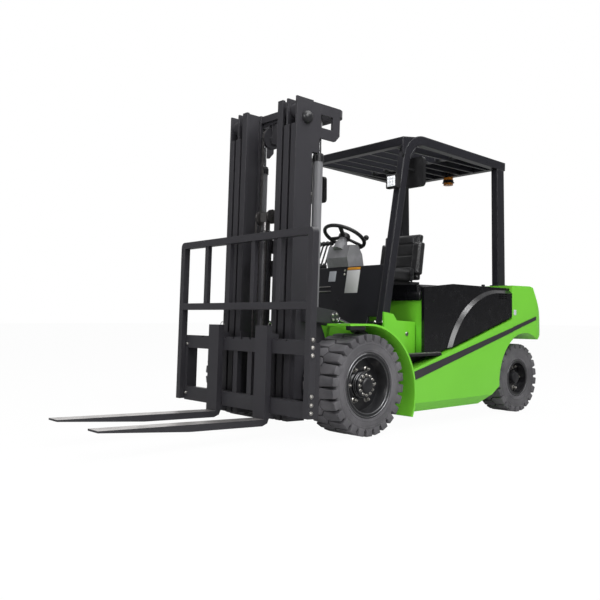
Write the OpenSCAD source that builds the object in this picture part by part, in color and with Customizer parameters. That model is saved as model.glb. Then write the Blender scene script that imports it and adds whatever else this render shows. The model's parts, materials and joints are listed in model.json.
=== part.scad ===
// Electric counterbalance forklift truck with a three-stage mast.
// Millimetres. +X points forward, +Y to the truck's left, +Z up; the ground is z = 0.
// Truck shapes are drawn with x = 0 on the front axle, then moved so the whole part is centred.

/* [Truck] */
// Distance between front and rear axle
wheelbase = 1975; // [1900:5:2050]
// Rear axle to the counterweight's rear face
rear_overhang = 385; // [375:5:440]
// Width over the side skirts
body_w = 1470; // [1450:5:1500]
// Underside of the side skirts
skirt_z = 122; // [100:1:150]
// Top of the step plate
step_z = 555; // [540:5:570]
// Top of the operator's floor
floor_z = 790; // [785:1:810]
// Underside of the hood lid
hood_z = 1020; // [1000:5:1030]
// Thickness of the hood lid
hood_t = 55; // [40:1:60]
// Front of the hood and battery box
hood_front_x = -650; // [-670:5:-640]
// Joint between the body and the counterweight
seam_x = -1780; // [-1800:5:-1770]
// Top of the counterweight
weight_top_z = 1100; // [1090:5:1130]

/* [Front wheels] */
// Diameter over the front lugs
front_tyre_d = 710; // [700:2:720]
// Width of a front tyre
front_tyre_w = 300; // [280:5:310]
// Gap between an outer rail and a front tyre
mast_gap = 50; // [45:1:60]
// Outer diameter of the front rim's barrel
front_rim_d = 380; // [360:5:400]

/* [Rear wheels] */
// Diameter over the rear lugs
rear_tyre_d = 596; // [590:2:600]
// Width of a rear tyre
rear_tyre_w = 220; // [200:5:225]
// Distance between the middles of the rear tyres
rear_track = 1094; // [1080:2:1110]
// Outer diameter of the rear rim's barrel
rear_rim_d = 290; // [285:1:300]
// Distance between the two kingpins
kingpin_span = 860; // [850:2:870]

/* [Mast] */
// Lean of the mast behind vertical as it is parked
rest_tilt = 2; // [1:0.5:3]
// Height of the rails' tops above the ground, mast upright
mast_top_z = 2360; // [2340:5:2400]
// Height of the rails' feet
mast_foot_z = 92; // [88:1:100]
// Front axle to the back of the rails
rail_x = 285; // [283:1:290]
// Front to back depth of a rail
rail_depth = 155; // [150:1:160]
// Thickness of a rail's flanges
flange_t = 23; // [20:1:25]
// Width of a rail's flanges
flange_w = 55; // [50:1:57]
// Thickness of a rail's web
web_t = 15; // [12:1:16]
// Sideways distance from one rail to the next
rail_pitch = 78; // [78:1:80]
// Outer face of the outer rails from the middle of the truck
outer_rail_y = 395; // [393:1:398]
// Height where the tilt rods' eyes sit, mast upright
tilt_ear_z = 822; // [815:1:830]
// Outer radius of a main lift cylinder
lift_r = 36; // [34:1:37]
// Outer radius of the middle lift cylinder
free_r = 45; // [43:1:46]

/* [Carriage and forks] */
// Length of a fork's blade from the shank's face
fork_len = 1200; // [1100:10:1300]
// Width of a fork
fork_w = 130; // [120:2:150]
// Thickness of a fork
fork_t = 45; // [40:1:46]
// Distance between the middles of the forks
fork_spread = 570; // [500:10:700]
// Underside of the forks' heels, mast upright
fork_heel_z = 66; // [60:1:75]
// Front face of the forks' shanks
shank_x = 604; // [602:1:608]
// Top of the forks' shanks
shank_top_z = 745; // [735:5:755]
// Top of the upper fork bar
bar_top_z = 658; // [655:1:662]
// Distance over the two fork bars
bars_h = 508; // [505:1:512]
// Width over the load backrest
backrest_w = 1570; // [1540:10:1580]
// Top of the load backrest
backrest_top_z = 1388; // [1360:4:1400]
// Width of the backrest's bars
backrest_bar = 50; // [44:1:54]

/* [Cab] */
// Width over the overhead guard
guard_w = 1150; // [1140:2:1160]
// Width of a guard tube across the truck
guard_tube_w = 62; // [56:1:66]
// Depth of a guard tube in the side view
guard_tube_d = 70; // [64:1:76]
// Highest line of the guard at its front crown
guard_top_z = 2240; // [2230:5:2260]
// Radius of the guard's front bend along its middle line
guard_bend_r = 200; // [180:5:220]
// Diameter of the steering wheel's rim
hand_wheel_d = 370; // [350:5:380]
// Width of the seat
seat_w = 490; // [470:5:510]

/* [Hidden] */
$fn = 64;

// Clearances
run_fit = 0.06;
seat_gap = 0.3;
slip = 6;

// Colours
body_green = [0.40, 0.75, 0.15];
dark_green = [0.24, 0.50, 0.09];
mast_grey = [0.20, 0.20, 0.23];
black = [0.08, 0.08, 0.09];
rubber = [0.13, 0.13, 0.14];
steel = [0.72, 0.72, 0.74];
stripe_grey = [0.24, 0.24, 0.27];
dash_grey = [0.55, 0.55, 0.58];

// Axles and where the front axle lies in the part's own frame
front_z = front_tyre_d / 2;
rear_z = rear_tyre_d / 2;
rear_x = -wheelbase;
weight_rear_x = rear_x - rear_overhang;
fork_tip_t = 12;
fork_tip_x = shank_x + fork_len;
fork_top_z = fork_heel_z + fork_t;
reach_x = fork_tip_x * cos(rest_tilt) - (fork_top_z - fork_tip_t - front_z) * sin(rest_tilt);
front_axle_x = -(reach_x + weight_rear_x) / 2;
side_y = body_w / 2;

// Front axle and chassis plates
axle_tube_r = 80;
pivot_y0 = outer_rail_y;
pivot_y1 = pivot_y0 + 35;
plate_y1 = pivot_y0 - slip;
plate_y0 = plate_y1 - 24;
front_track = 2 * (outer_rail_y + mast_gap) + front_tyre_w;
front_disc_y = front_track / 2;
front_stub_r = 50;
pan_z = 150;
pan_t = 20;
plate_top_z = 755;
bulkhead_x = -300;
cab_wall_y = side_y - 130;
cab_wall_t = 16;
step_t = 18;

// Fender arc behind the front wheel, and the rear wheel well
fender_r = 500;
fender_z = 280;
fender_t = 14;
fender_front_x = 184;
fender_y0 = (front_track - front_tyre_w) / 2 + 65;
well_r = 393;
well_y0 = 138;
skirt_rear_x = rear_x + 415;

// Rear axle
kingpin_y = kingpin_span / 2;
kingpin_r = 22;
ear_r = 40;
ear_z0 = 46;
ear_z1 = 84;
rear_disc_y = rear_track / 2 + 5;
rear_stub_r = 35;
cradle_z = rear_z + 62;

// Tilt cylinders
tilt_y = pivot_y1 + 27;
tilt_pin_x = -520;
tilt_pin_z = 619;
tilt_pin_r = 20;
tilt_eye_clear = 3;
tilt_rod_r = 22;
tilt_barrel_r = 42;
tilt_barrel_len = 400;
ear_upright_x = 106;
eye_x = ear_upright_x * cos(rest_tilt) - (tilt_ear_z - front_z) * sin(rest_tilt);
eye_z = front_z + ear_upright_x * sin(rest_tilt) + (tilt_ear_z - front_z) * cos(rest_tilt);
tilt_len = norm([eye_x - tilt_pin_x, eye_z - tilt_pin_z]);
tilt_angle = atan2(eye_z - tilt_pin_z, eye_x - tilt_pin_x);

// Mast rails, rollers and ties
rail_x1 = rail_x + rail_depth;
roller_x = rail_x + rail_depth / 2;
roller_r = rail_depth / 2 - flange_t - seat_gap;
web_outer_y = outer_rail_y - web_t;
middle_y = outer_rail_y - rail_pitch;
inner_y = middle_y - rail_pitch;
middle_web_y = middle_y - (flange_w - web_t) / 2;
inner_web_y = inner_y - (flange_w - web_t) / 2;
notch_h = 190;
foot_roller_z = mast_foot_z + 90;
head_roller_z = mast_top_z - 78;
roller_gap = 1.5;
tie_t = 24;
outer_tie_x = rail_x - 63;
middle_tie_x = rail_x - 31;
inner_tie_t = 18;
horseshoe_x = -55;
horseshoe_w = 60;
horseshoe_z0 = mast_top_z - 62;
horseshoe_z1 = mast_top_z - 8;
lift_x = 160;
lift_y = outer_rail_y - 73;
lift_z0 = 150;
lift_z1 = 2005;
lift_rod_r = 22;
lift_rod_z0 = 205;
rod_head_z0 = mast_top_z - 58;
rod_head_z1 = mast_top_z - 14;
free_x = roller_x + 2;
free_z0 = 300;
free_z1 = 1440;
free_rod_r = 28;
free_rod_z0 = 560;
cross_z = 1540;
sheave_r = 50;
sheave_w = 20;
carriage_chain_y = 64;
main_chain_y = 96;
main_sheave_r = 80;
main_sheave_x = 268;
main_sheave_z = mast_top_z - 190;
chain_t = 14;
chain_pitch = 90;
groove = 9;
main_anchor_z = 420;
outer_anchor_z = 330;
barrel_anchor_z = 760;

// Carriage, side shifter and forks
carriage_y = 143;
carriage_t = 25;
carriage_x0 = rail_x1 + slip;
carriage_x1 = carriage_x0 + 30;
carriage_half_w = 480;
carriage_z0 = 155;
carriage_z1 = 700;
bar_x1 = shank_x - fork_t - 3;
bar_x0 = bar_x1 - 52;
upper_bar_h = 100;
lower_bar_h = 105;
bar_bottom_z = bar_top_z - bars_h;
lip_h = 30;
lip_t = 22;
backrest_y1 = backrest_w / 2;
backrest_y0 = backrest_y1 - backrest_bar;
backrest_x1 = shank_x - 4;
backrest_x0 = backrest_x1 - backrest_bar;
backrest_foot_z = 158;
mid_bar_z = 880;

// Seat and controls
seat_base_h = 50;
cowl_top_z = 1225;
column_lean = 28;
column_x = -440;
column_z = 1390;
column_len = 80;
hub_x = column_x - sin(column_lean) * (column_len + 18);
hub_z = column_z + cos(column_lean) * (column_len + 18);

// Overhead guard
guard_y1 = guard_w / 2;
guard_y0 = guard_y1 - guard_tube_w;
pillar_foot_x = -345;
pillar_foot_z = fender_z + fender_r;
pillar_lean = 10.86;
roof_slope = 2.6;
guard_rear_x = -1909;
crown_x = -818;
roof_mid_z = guard_top_z - guard_tube_d / 2;
function roof_z(x) = roof_mid_z + tan(roof_slope) * (x - crown_x);
function roof_under(x) = roof_z(x) - guard_tube_d / 2 / cos(roof_slope);
bend_z = (roof_mid_z + tan(roof_slope) * (pillar_foot_x + tan(pillar_lean) * pillar_foot_z - crown_x))
  / (1 + tan(roof_slope) * tan(pillar_lean));
bend_x = pillar_foot_x - tan(pillar_lean) * (bend_z - pillar_foot_z);
bend_angle = 90 + pillar_lean - roof_slope;
bend_reach = guard_bend_r / tan(bend_angle / 2);
function pillar_x(z) = pillar_foot_x - tan(pillar_lean) * (z - pillar_foot_z);
mirror_x = -690;
header_x = -575;
header_z = 2172;
header_tube = 64;
roof_bar_h = 50;
roof_pitch = 2 * guard_y0 / 7;
mid_cross_x = -1330;
rear_cross_x = -1880;
rear_pillar_x0 = -1905;
rear_pillar_x1 = -1800;

// Helpers
module placed() {
  translate([front_axle_x, 0, 0]) children();
}

module mast_placed() {
  placed() translate([0, 0, front_z]) rotate([0, -rest_tilt, 0]) translate([0, 0, -front_z]) children();
}

module both() {
  children();
  mirror([0, 1, 0]) children();
}

// A side-view outline with a thickness from y0 to y1
module side(y0, y1) {
  translate([0, y1, 0]) rotate([90, 0, 0]) linear_extrude(y1 - y0) children();
}

// A plan outline with a thickness from z0 to z1
module plan(z0, z1) {
  translate([0, 0, z0]) linear_extrude(z1 - z0) children();
}

// A front-view outline with a thickness from x0 to x1
module front(x0, x1) {
  translate([x0, 0, 0]) rotate([90, 0, 90]) linear_extrude(x1 - x0) children();
}

module box(x0, x1, y0, y1, z0, z1) {
  translate([x0, y0, z0]) cube([x1 - x0, y1 - y0, z1 - z0]);
}

module rod_y(r, y0, y1, x, z) {
  translate([x, y1, z]) rotate([90, 0, 0]) cylinder(h = y1 - y0, r = r);
}

module rod_z(r, z0, z1, x, y) {
  translate([x, y, z0]) cylinder(h = z1 - z0, r = r);
}

// A solid of revolution about the truck's cross axis, from (radius, y) points
module turned(points, x, z) {
  translate([x, 0, z]) rotate([-90, 0, 0]) rotate_extrude() polygon(points);
}

module rounded_rect(x0, x1, y0, y1, r) {
  translate([x0 + r, y0]) square([x1 - x0 - 2 * r, y1 - y0]);
  translate([x0, y0 + r]) square([x1 - x0, y1 - y0 - 2 * r]);
  for (x = [x0 + r, x1 - r], y = [y0 + r, y1 - r]) translate([x, y]) circle(r);
}

// Chassis and axles
module chassis_frame() {
  color(body_green) placed() {
    difference() {
      union() {
        both() side(plate_y0, plate_y1) polygon([[120, 200], [128, front_z], [40, plate_top_z],
          [skirt_rear_x, plate_top_z], [skirt_rear_x, pan_z], [-420, pan_z], [-420, 180]]);
        box(skirt_rear_x, hood_front_x, -plate_y1, plate_y1, pan_z, pan_z + pan_t);
        box(bulkhead_x - 20, bulkhead_x, -plate_y1, plate_y1, 540, plate_top_z);
        both() rod_y(tilt_pin_r * 2.2, plate_y0, tilt_y - 20, tilt_pin_x, tilt_pin_z);
        both() rod_y(tilt_pin_r, plate_y0, tilt_y + 34, tilt_pin_x, tilt_pin_z);
      }
      rod_y(axle_tube_r + seat_gap, -side_y, side_y, 0, front_z);
    }
  }
}

module drive_axle() {
  half = [[0, 0], [150, 0], [150, 130], [128, 190], [100, 235], [axle_tube_r, 260],
    [axle_tube_r, pivot_y1 + 2], [126, pivot_y1 + 2], [126, pivot_y1 + 26],
    [front_stub_r, pivot_y1 + 26], [front_stub_r, front_disc_y + 14], [0, front_disc_y + 14]];
  color(black) placed() both() turned(half, 0, front_z);
}

module steer_axle() {
  color(black) placed() difference() {
    union() {
      box(rear_x - 40, rear_x + 40, -kingpin_y + 30, kingpin_y - 30, rear_z - 44, rear_z + 44);
      box(rear_x - 70, rear_x + 70, -125, 125, rear_z - 55, cradle_z);
      both() for (s = [-1, 1]) {
        z0 = s > 0 ? rear_z + ear_z0 : rear_z - ear_z1;
        rod_z(ear_r, z0, z0 + ear_z1 - ear_z0, rear_x, kingpin_y);
        box(rear_x - 30, rear_x + 30, kingpin_y - 110, kingpin_y, z0, z0 + ear_z1 - ear_z0);
        box(rear_x - 30, rear_x + 30, kingpin_y - 110, kingpin_y - 52, rear_z - ear_z1, rear_z + ear_z1);
      }
    }
    both() rod_z(kingpin_r + run_fit, rear_z - 200, rear_z + 200, rear_x, kingpin_y);
    both() rod_z(ear_r + slip, rear_z - ear_z0, rear_z + ear_z0, rear_x, kingpin_y);
  }
}

module battery_block() {
  color(black) placed() box(-1545, -690, -plate_y0 + 15, plate_y0 - 15, pan_z + pan_t, hood_z - 60);
}

// Counterweight: a side outline held to a plan outline, with the wheel wells cut away
module counterweight_side() {
  polygon([[seam_x, rear_z + 100], [seam_x, weight_top_z], [-2060, weight_top_z], [-2110,
    weight_top_z - 12],
    [-2225, 880], [-2262, 772], [weight_rear_x, 772], [weight_rear_x, 690], [-2250, 672],
    [-2092, 575], [-2092, rear_z + 62], [-1850, rear_z + 62]]);
}

module counterweight_plan() {
  intersection() {
    translate([weight_rear_x, -side_y + 8]) square([seam_x - weight_rear_x, 2 * side_y - 16]);
    translate([weight_rear_x + 2700, 0]) circle(2700, $fn = 200);
    union() {
      translate([weight_rear_x + 190, -side_y]) square([900, 2 * side_y]);
      translate([weight_rear_x - 10, -side_y + 200]) square([900, 2 * side_y - 400]);
      for (s = [-1, 1]) translate([weight_rear_x + 200, s * (side_y - 208)]) circle(200);
    }
  }
}

module counterweight() {
  jaw_x = weight_rear_x + 45;
  color(body_green) placed() difference() {
    union() {
      intersection() {
        side(-side_y, side_y) counterweight_side();
        plan(0, 1500) counterweight_plan();
      }
      box(weight_rear_x + 3, -2150, -105, 105, 600, 772);
    }
    for (s = [0, 1]) mirror([0, s, 0]) rod_y(well_r, well_y0, side_y + 10, rear_x, rear_z);
    box(weight_rear_x - 10, weight_rear_x + 95, -60, 60, 655, 715);
    rod_z(16, 500, 800, jaw_x, 0);
  }
}

// Skirts with the step recess, each chamfered along its lower outer edge
function skirt_top(x) = step_z + (x + 813) * (799 - 553) / (813 - 1735);
function recess_top(x) = step_z - step_t + (x + 813) * (skirt_top(seam_x) - step_z + step_t) / (seam_x + 813);

module skirt_outline(grow) {
  difference() {
    polygon([[bulkhead_x, skirt_z], [skirt_rear_x + 200, skirt_z], [seam_x + seat_gap, skirt_z + 250],
      [seam_x + seat_gap, skirt_top(seam_x) + grow], [bulkhead_x, recess_top(bulkhead_x) + grow]]);
    translate([0, fender_z]) circle(fender_r + seat_gap, $fn = 128);
    translate([rear_x, rear_z]) circle(well_r);
  }
}

module side_panels() {
  color(body_green) placed() both() intersection() {
    side(plate_y1 + seat_gap, side_y) skirt_outline(0);
    front(-2000, 0) polygon([[plate_y1, skirt_z], [side_y - 60, skirt_z], [side_y - 6, skirt_z + 70],
      [side_y, 420], [side_y, 1000], [plate_y1, 1000]]);
  }
}

// Dark band that climbs along the skirt
module side_stripes() {
  color(stripe_grey) placed() both() intersection() {
    side(side_y + seat_gap, side_y + 4) intersection() {
      skirt_outline(-6);
      polygon([[-420, 345], [-420, 410], [seam_x, 742], [seam_x, 706]]);
    }
    front(-2000, 0) square([side_y + 10, 1000]);
  }
  color(stripe_grey) placed() both() side(side_y - 8 + seat_gap, side_y - 4)
    polygon([[seam_x - 1, 706], [seam_x - 1, 742], [-2155, 836], [-2155, 805]]);
}

module fenders() {
  color(body_green) placed() both() side(fender_y0, side_y + 5) {
    translate([0, fender_z + fender_r - fender_t]) square([fender_front_x, fender_t]);
    intersection() {
      difference() {
        translate([0, fender_z]) circle(fender_r, $fn = 128);
        translate([0, fender_z]) circle(fender_r - fender_t, $fn = 128);
      }
      polygon([[0, fender_z], [0, 1000], [-700, 1000], [-700, 10], [-472, 93]]);
    }
  }
}

module step_plates() {
  color(black) placed() both() difference() {
    union() {
      side(cab_wall_y, side_y) polygon([[bulkhead_x, step_z - step_t], [bulkhead_x, step_z], [-805, step_z],
        [-810, step_z - step_t]]);
      side(cab_wall_y, cab_wall_y + cab_wall_t) polygon([[bulkhead_x, recess_top(bulkhead_x) + seat_gap],
        [bulkhead_x, step_z - 1], [-805, step_z - 1], [-805, recess_top(-805) + seat_gap]]);
    }
    rod_y(fender_r + 1, 0, 1000, 0, fender_z);
  }
}

module cab_sides() {
  color(body_green) placed() both() difference() {
    side(cab_wall_y - cab_wall_t, cab_wall_y) polygon([[bulkhead_x, step_z - step_t], [hood_front_x,
      step_z - step_t],
      [hood_front_x, floor_z], [-440, floor_z + 12], [-400, floor_z + 60], [bulkhead_x, floor_z + 75]]);
    rod_y(fender_r + seat_gap, 0, 1000, 0, fender_z);
    pillar_space();
  }
}

module floor_plate() {
  wall_in_y = cab_wall_y - cab_wall_t;
  color(black) placed() difference() {
    box(hood_front_x, bulkhead_x - 62, -wall_in_y, wall_in_y, floor_z - 20, floor_z);
    pillar_space();
  }
}

// The cowl leans with the guard's front pillars
module front_cowl() {
  foot = pillar_foot_z - 22;
  top = cowl_top_z;
  lean = tan(pillar_lean);
  color(black) placed() difference() {
    union() {
      side(-guard_y0 + seat_gap, guard_y0 - seat_gap) polygon([[pillar_foot_x + 14, foot],
        [pillar_foot_x - 10, foot],
        [pillar_foot_x - 10 - lean * (top - foot), top], [pillar_foot_x + 14 - lean * (top - foot), top]]);
      side(-guard_y0 + seat_gap, guard_y0 - seat_gap) polygon([[pillar_foot_x - 60 - lean * (top - foot),
        top - 24],
        [pillar_foot_x + 14 - lean * (top - foot), top - 24], [pillar_foot_x + 14 - lean * (top - foot),
          top],
        [pillar_foot_x - 60 - lean * (top - foot), top]]);
    }
    both() box(-500, -200, tilt_y - 60, guard_y0 - 20, 700, foot + 70);
  }
}

module dash_console() {
  color(dash_grey) placed() {
    side(-120, 120) polygon([[-415, cowl_top_z], [-590, cowl_top_z], [-570, 1330], [-520, 1405], [-430,
      1400], [-395, 1300]]);
    translate([column_x, 0, column_z]) rotate([0, -column_lean, 0]) cylinder(h = column_len, r = 32);
  }
}

module steering_wheel() {
  rim_r = 15;
  color(black) placed() translate([hub_x, 0, hub_z]) rotate([0, -column_lean, 0]) {
    rotate_extrude($fn = 96) translate([hand_wheel_d / 2 - rim_r, 0]) circle(rim_r);
    translate([0, 0, -18]) cylinder(h = 24, r = 48);
    for (a = [30, 150, 270]) rotate([0, 0, a]) translate([0, -16, -12]) cube([hand_wheel_d / 2 - rim_r,
      32, 12]);
    rotate([0, 0, 130]) translate([hand_wheel_d / 2 - rim_r, 0, 8]) {
      cylinder(h = 26, r = 10);
      translate([0, 0, 40]) sphere(22);
    }
  }
}

module control_levers() {
  color(black) placed() for (i = [0:3]) translate([-460, -guard_y0 + 303 - 48 * i, cowl_top_z]) {
    cylinder(h = 26, r = 20);
    translate([0, 0, 12]) rotate([0, -22, 0]) {
      cylinder(h = 210, r = 7);
      translate([0, 0, 222]) sphere(21);
    }
  }
}

module foot_pedals() {
  color(black) placed() for (y = [-190, -60, 90]) translate([-470, y, floor_z]) {
    translate([0, -8, 0]) cube([60, 16, 60]);
    translate([30, 0, 50]) rotate([0, -55, 0]) translate([-12, -38, -55]) cube([14, 76, 110]);
  }
}

// Hood over the battery
module hood_lid() {
  color(black) placed() difference() {
    plan(hood_z, hood_z + hood_t) rounded_rect(seam_x + 1, hood_front_x + 22, -side_y + 62, side_y - 62,
      40);
    for (s = [0, 1]) mirror([0, s, 0]) translate([seam_x, side_y - 62, hood_z + hood_t + 10]) rotate([0,
      90, 0]) {
      rotate([0, 0, 45]) translate([-20, -20, -10]) cube([40, 40, 1300]);
    }
  }
}

module hood_side_outline() {
  difference() {
    polygon([[hood_front_x + 10, step_z + 1], [-813, step_z + 1], [seam_x + seat_gap,
      skirt_top(seam_x) + 19],
      [seam_x + seat_gap, hood_z + hood_t], [-1000, hood_z + hood_t + 14], [hood_front_x + 10,
        hood_z + hood_t - 20]]);
    for (i = [0:2], j = [0:2]) translate([-1700 + 42 * j, hood_z - 4 - 16 * i]) square([32, 6]);
  }
}

// Each side has a raised lower panel with a bevelled edge along an arc
module hood_sides() {
  y0 = side_y - 38;
  y1 = side_y - 8;
  arc_r = 700;
  arc_x = -1600;
  arc_z = hood_z - 690;
  color(black) placed() both() {
    side(side_y - 60, side_y - 34) hood_side_outline();
    intersection() {
      side(y0, y1) hood_side_outline();
      union() {
        translate([arc_x, y1, arc_z]) rotate([90, 0, 0]) cylinder(h = y1 - y0, r1 = arc_r,
          r2 = arc_r + 30, $fn = 128);
        front(seam_x, arc_x) polygon([[y0, 500], [y1, 500], [y1, arc_z + arc_r], [y0, arc_z + arc_r + 30]]);
      }
    }
  }
}

module hood_front() {
  wall_x = hood_front_x - 1;
  color(dark_green) placed() box(wall_x - 18, wall_x, -side_y + 61, side_y - 61, plate_top_z + seat_gap,
    hood_z - seat_gap);
}

// Seat
module seat_base() {
  z0 = hood_z + hood_t;
  color(black) placed() {
    for (y = [-170, 130]) box(-1080, -700, y, y + 40, z0, z0 + 22);
    box(-1200, -720, -190, 190, z0 + 22, z0 + seat_base_h);
  }
}

module seat_cushion() {
  z0 = hood_z + hood_t + seat_base_h + seat_gap;
  color(black) placed() plan(z0, z0 + 105) rounded_rect(-1110, -645, -seat_w / 2, seat_w / 2, 60);
}

module seat_back() {
  z0 = hood_z + hood_t + seat_base_h + seat_gap;
  top = z0 + 435;
  color(black) placed() intersection() {
    side(-seat_w / 2, seat_w / 2) polygon([[-1113, z0], [-1200, z0], [-1262, top], [-1185, top]]);
    front(-1400, -900) rounded_rect(-seat_w / 2, seat_w / 2, z0 - 200, top, 90);
  }
}

// Overhead guard
module hoop_outline(grow) {
  w = guard_tube_d + 2 * grow;
  foot_len = norm([bend_x - pillar_foot_x, bend_z - pillar_foot_z]);
  centre = [bend_x, bend_z] + guard_bend_r / sin(bend_angle / 2) * [cos(270 - bend_angle / 2 + pillar_lean),
    sin(270 - bend_angle / 2 + pillar_lean)];
  translate([pillar_foot_x, pillar_foot_z]) rotate(90 + pillar_lean) translate([0, -w / 2])
    square([foot_len - bend_reach, w]);
  translate([bend_x, bend_z]) rotate(180 + roof_slope) translate([bend_reach, -w / 2])
    square([(bend_x - guard_rear_x) / cos(roof_slope) - bend_reach, w]);
  intersection() {
    translate(centre) difference() {
      circle(guard_bend_r + w / 2, $fn = 128);
      circle(guard_bend_r - w / 2, $fn = 128);
    }
    polygon([centre, centre + 600 * [cos(pillar_lean), sin(pillar_lean)],
      centre + 900 * [cos(50), sin(50)], centre + 600 * [cos(90 + roof_slope), sin(90 + roof_slope)]]);
  }
}

module pillar_space() {
  both() side(guard_y0 - seat_gap, guard_y1 + seat_gap) hoop_outline(seat_gap);
}

module guard_hoops() {
  color(black) placed() both() difference() {
    side(guard_y0, guard_y1) hoop_outline(0);
    box(-600, 0, 0, 900, 0, pillar_foot_z);
  }
}

module guard_rear_pillars() {
  color(black) placed() both() difference() {
    side(guard_y0, guard_y1) polygon([[rear_pillar_x0, weight_top_z], [rear_pillar_x1, weight_top_z],
      [rear_pillar_x1 + 12, 2300], [rear_pillar_x0 + 20, 2300]]);
    side(0, 900) polygon([[-2200, roof_under(-2200)], [-1200, roof_under(-1200)], [-1200, 3000], [-2200,
      3000]]);
  }
}

module guard_header() {
  tube = header_tube;
  color(black) placed() difference() {
    union() {
      box(header_x - tube / 2, header_x + tube / 2, -guard_y1, guard_y1, header_z - tube / 2,
        header_z + tube / 2);
      both() side(guard_y1 - 18, guard_y1) polygon([[header_x + tube / 2, header_z + tube / 2],
        [header_x + tube / 2, header_z - tube / 2], [-560, 1985], [-640, 2050], [-760, 2230]]);
    }
    both() side(guard_y0 - seat_gap, guard_y1 + 10) hoop_outline(0.02);
  }
}

module guard_roof_bars() {
  h = roof_bar_h / 2;
  front_x = header_x - header_tube / 2;
  rear_x1 = rear_cross_x + 30;
  color(black) placed() {
    for (i = [-3:3]) side(i * roof_pitch - 8, i * roof_pitch + 8) polygon([[front_x, header_z + h],
      [front_x, header_z - h], [rear_x1, roof_z(rear_x1) - h], [rear_x1, roof_z(rear_x1) + h]]);
    for (x = [mid_cross_x, rear_cross_x]) side(-guard_y0, guard_y0) polygon([[x, roof_z(x) - h], [x,
      roof_z(x) + h],
      [x + 60, roof_z(x + 60) + h], [x + 60, roof_z(x + 60) - h]]);
    side(-guard_y0, guard_y0) polygon([[rear_cross_x, roof_z(rear_cross_x) + h - 1], [rear_cross_x,
      roof_z(rear_cross_x) + h + 4],
      [mid_cross_x, roof_z(mid_cross_x) + h + 4], [mid_cross_x, roof_z(mid_cross_x) + h - 1]]);
  }
}

module work_lamps() {
  lamp_z = 1850;
  lamp_x = pillar_x(lamp_z) + guard_tube_d / 2 + 34;
  lamp_y = guard_y1 - 24;
  color(black) placed() difference() {
    both() {
      side(lamp_y - 52, lamp_y + 52) rounded_rect(lamp_x, lamp_x + 48, lamp_z - 52, lamp_z + 52, 10);
      box(pillar_x(lamp_z), lamp_x + 5, lamp_y - 12, lamp_y + 12, lamp_z - 14, lamp_z + 14);
    }
    pillar_space();
  }
}

module mirrors() {
  arm_z = 1965;
  mirror_y = guard_y1 - 20;
  color(black) placed() difference() {
    both() {
      front(mirror_x - 30, mirror_x) rounded_rect(mirror_y - 95, mirror_y + 95, arm_z - 130, arm_z + 100,
        30);
      box(mirror_x - 10, pillar_x(arm_z), mirror_y - 9, mirror_y + 9, arm_z - 9, arm_z + 9);
    }
    pillar_space();
  }
}

module warning_lamp() {
  lamp_z = roof_z(rear_cross_x) - roof_bar_h / 2 - seat_gap;
  color([0.9, 0.5, 0.1]) placed() rod_z(45, lamp_z - 70, lamp_z, rear_cross_x + 30, 0);
}

// Mast
module channel_plan(y0, open_in) {
  x0 = rail_x;
  web = open_in ? y0 + flange_w - web_t : y0 + (flange_w - web_t) / 2;
  translate([x0, y0]) square([flange_t, flange_w]);
  translate([x0 + rail_depth - flange_t, y0]) square([flange_t, flange_w]);
  translate([x0, web]) square([rail_depth, web_t]);
}

module mast_rail(y0, open_in) {
  plan(mast_foot_z, mast_top_z) channel_plan(y0, open_in);
}

// Opening in a rail's front flange that shows the head roller
module rail_notch(y0, y1) {
  box(rail_x1 - flange_t, rail_x1 + 1, y0, y1, mast_top_z - notch_h, mast_top_z + 1);
}

module roller(y0, y1, z, hub_y0, hub_y1) {
  rod_y(roller_r, y0, y1, roller_x, z);
  rod_y(24, hub_y0, hub_y1, roller_x, z);
}

module tie(x0, x1, half, z0, z1) {
  box(x0, x1, -half, half, z0, z1);
}

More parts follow.
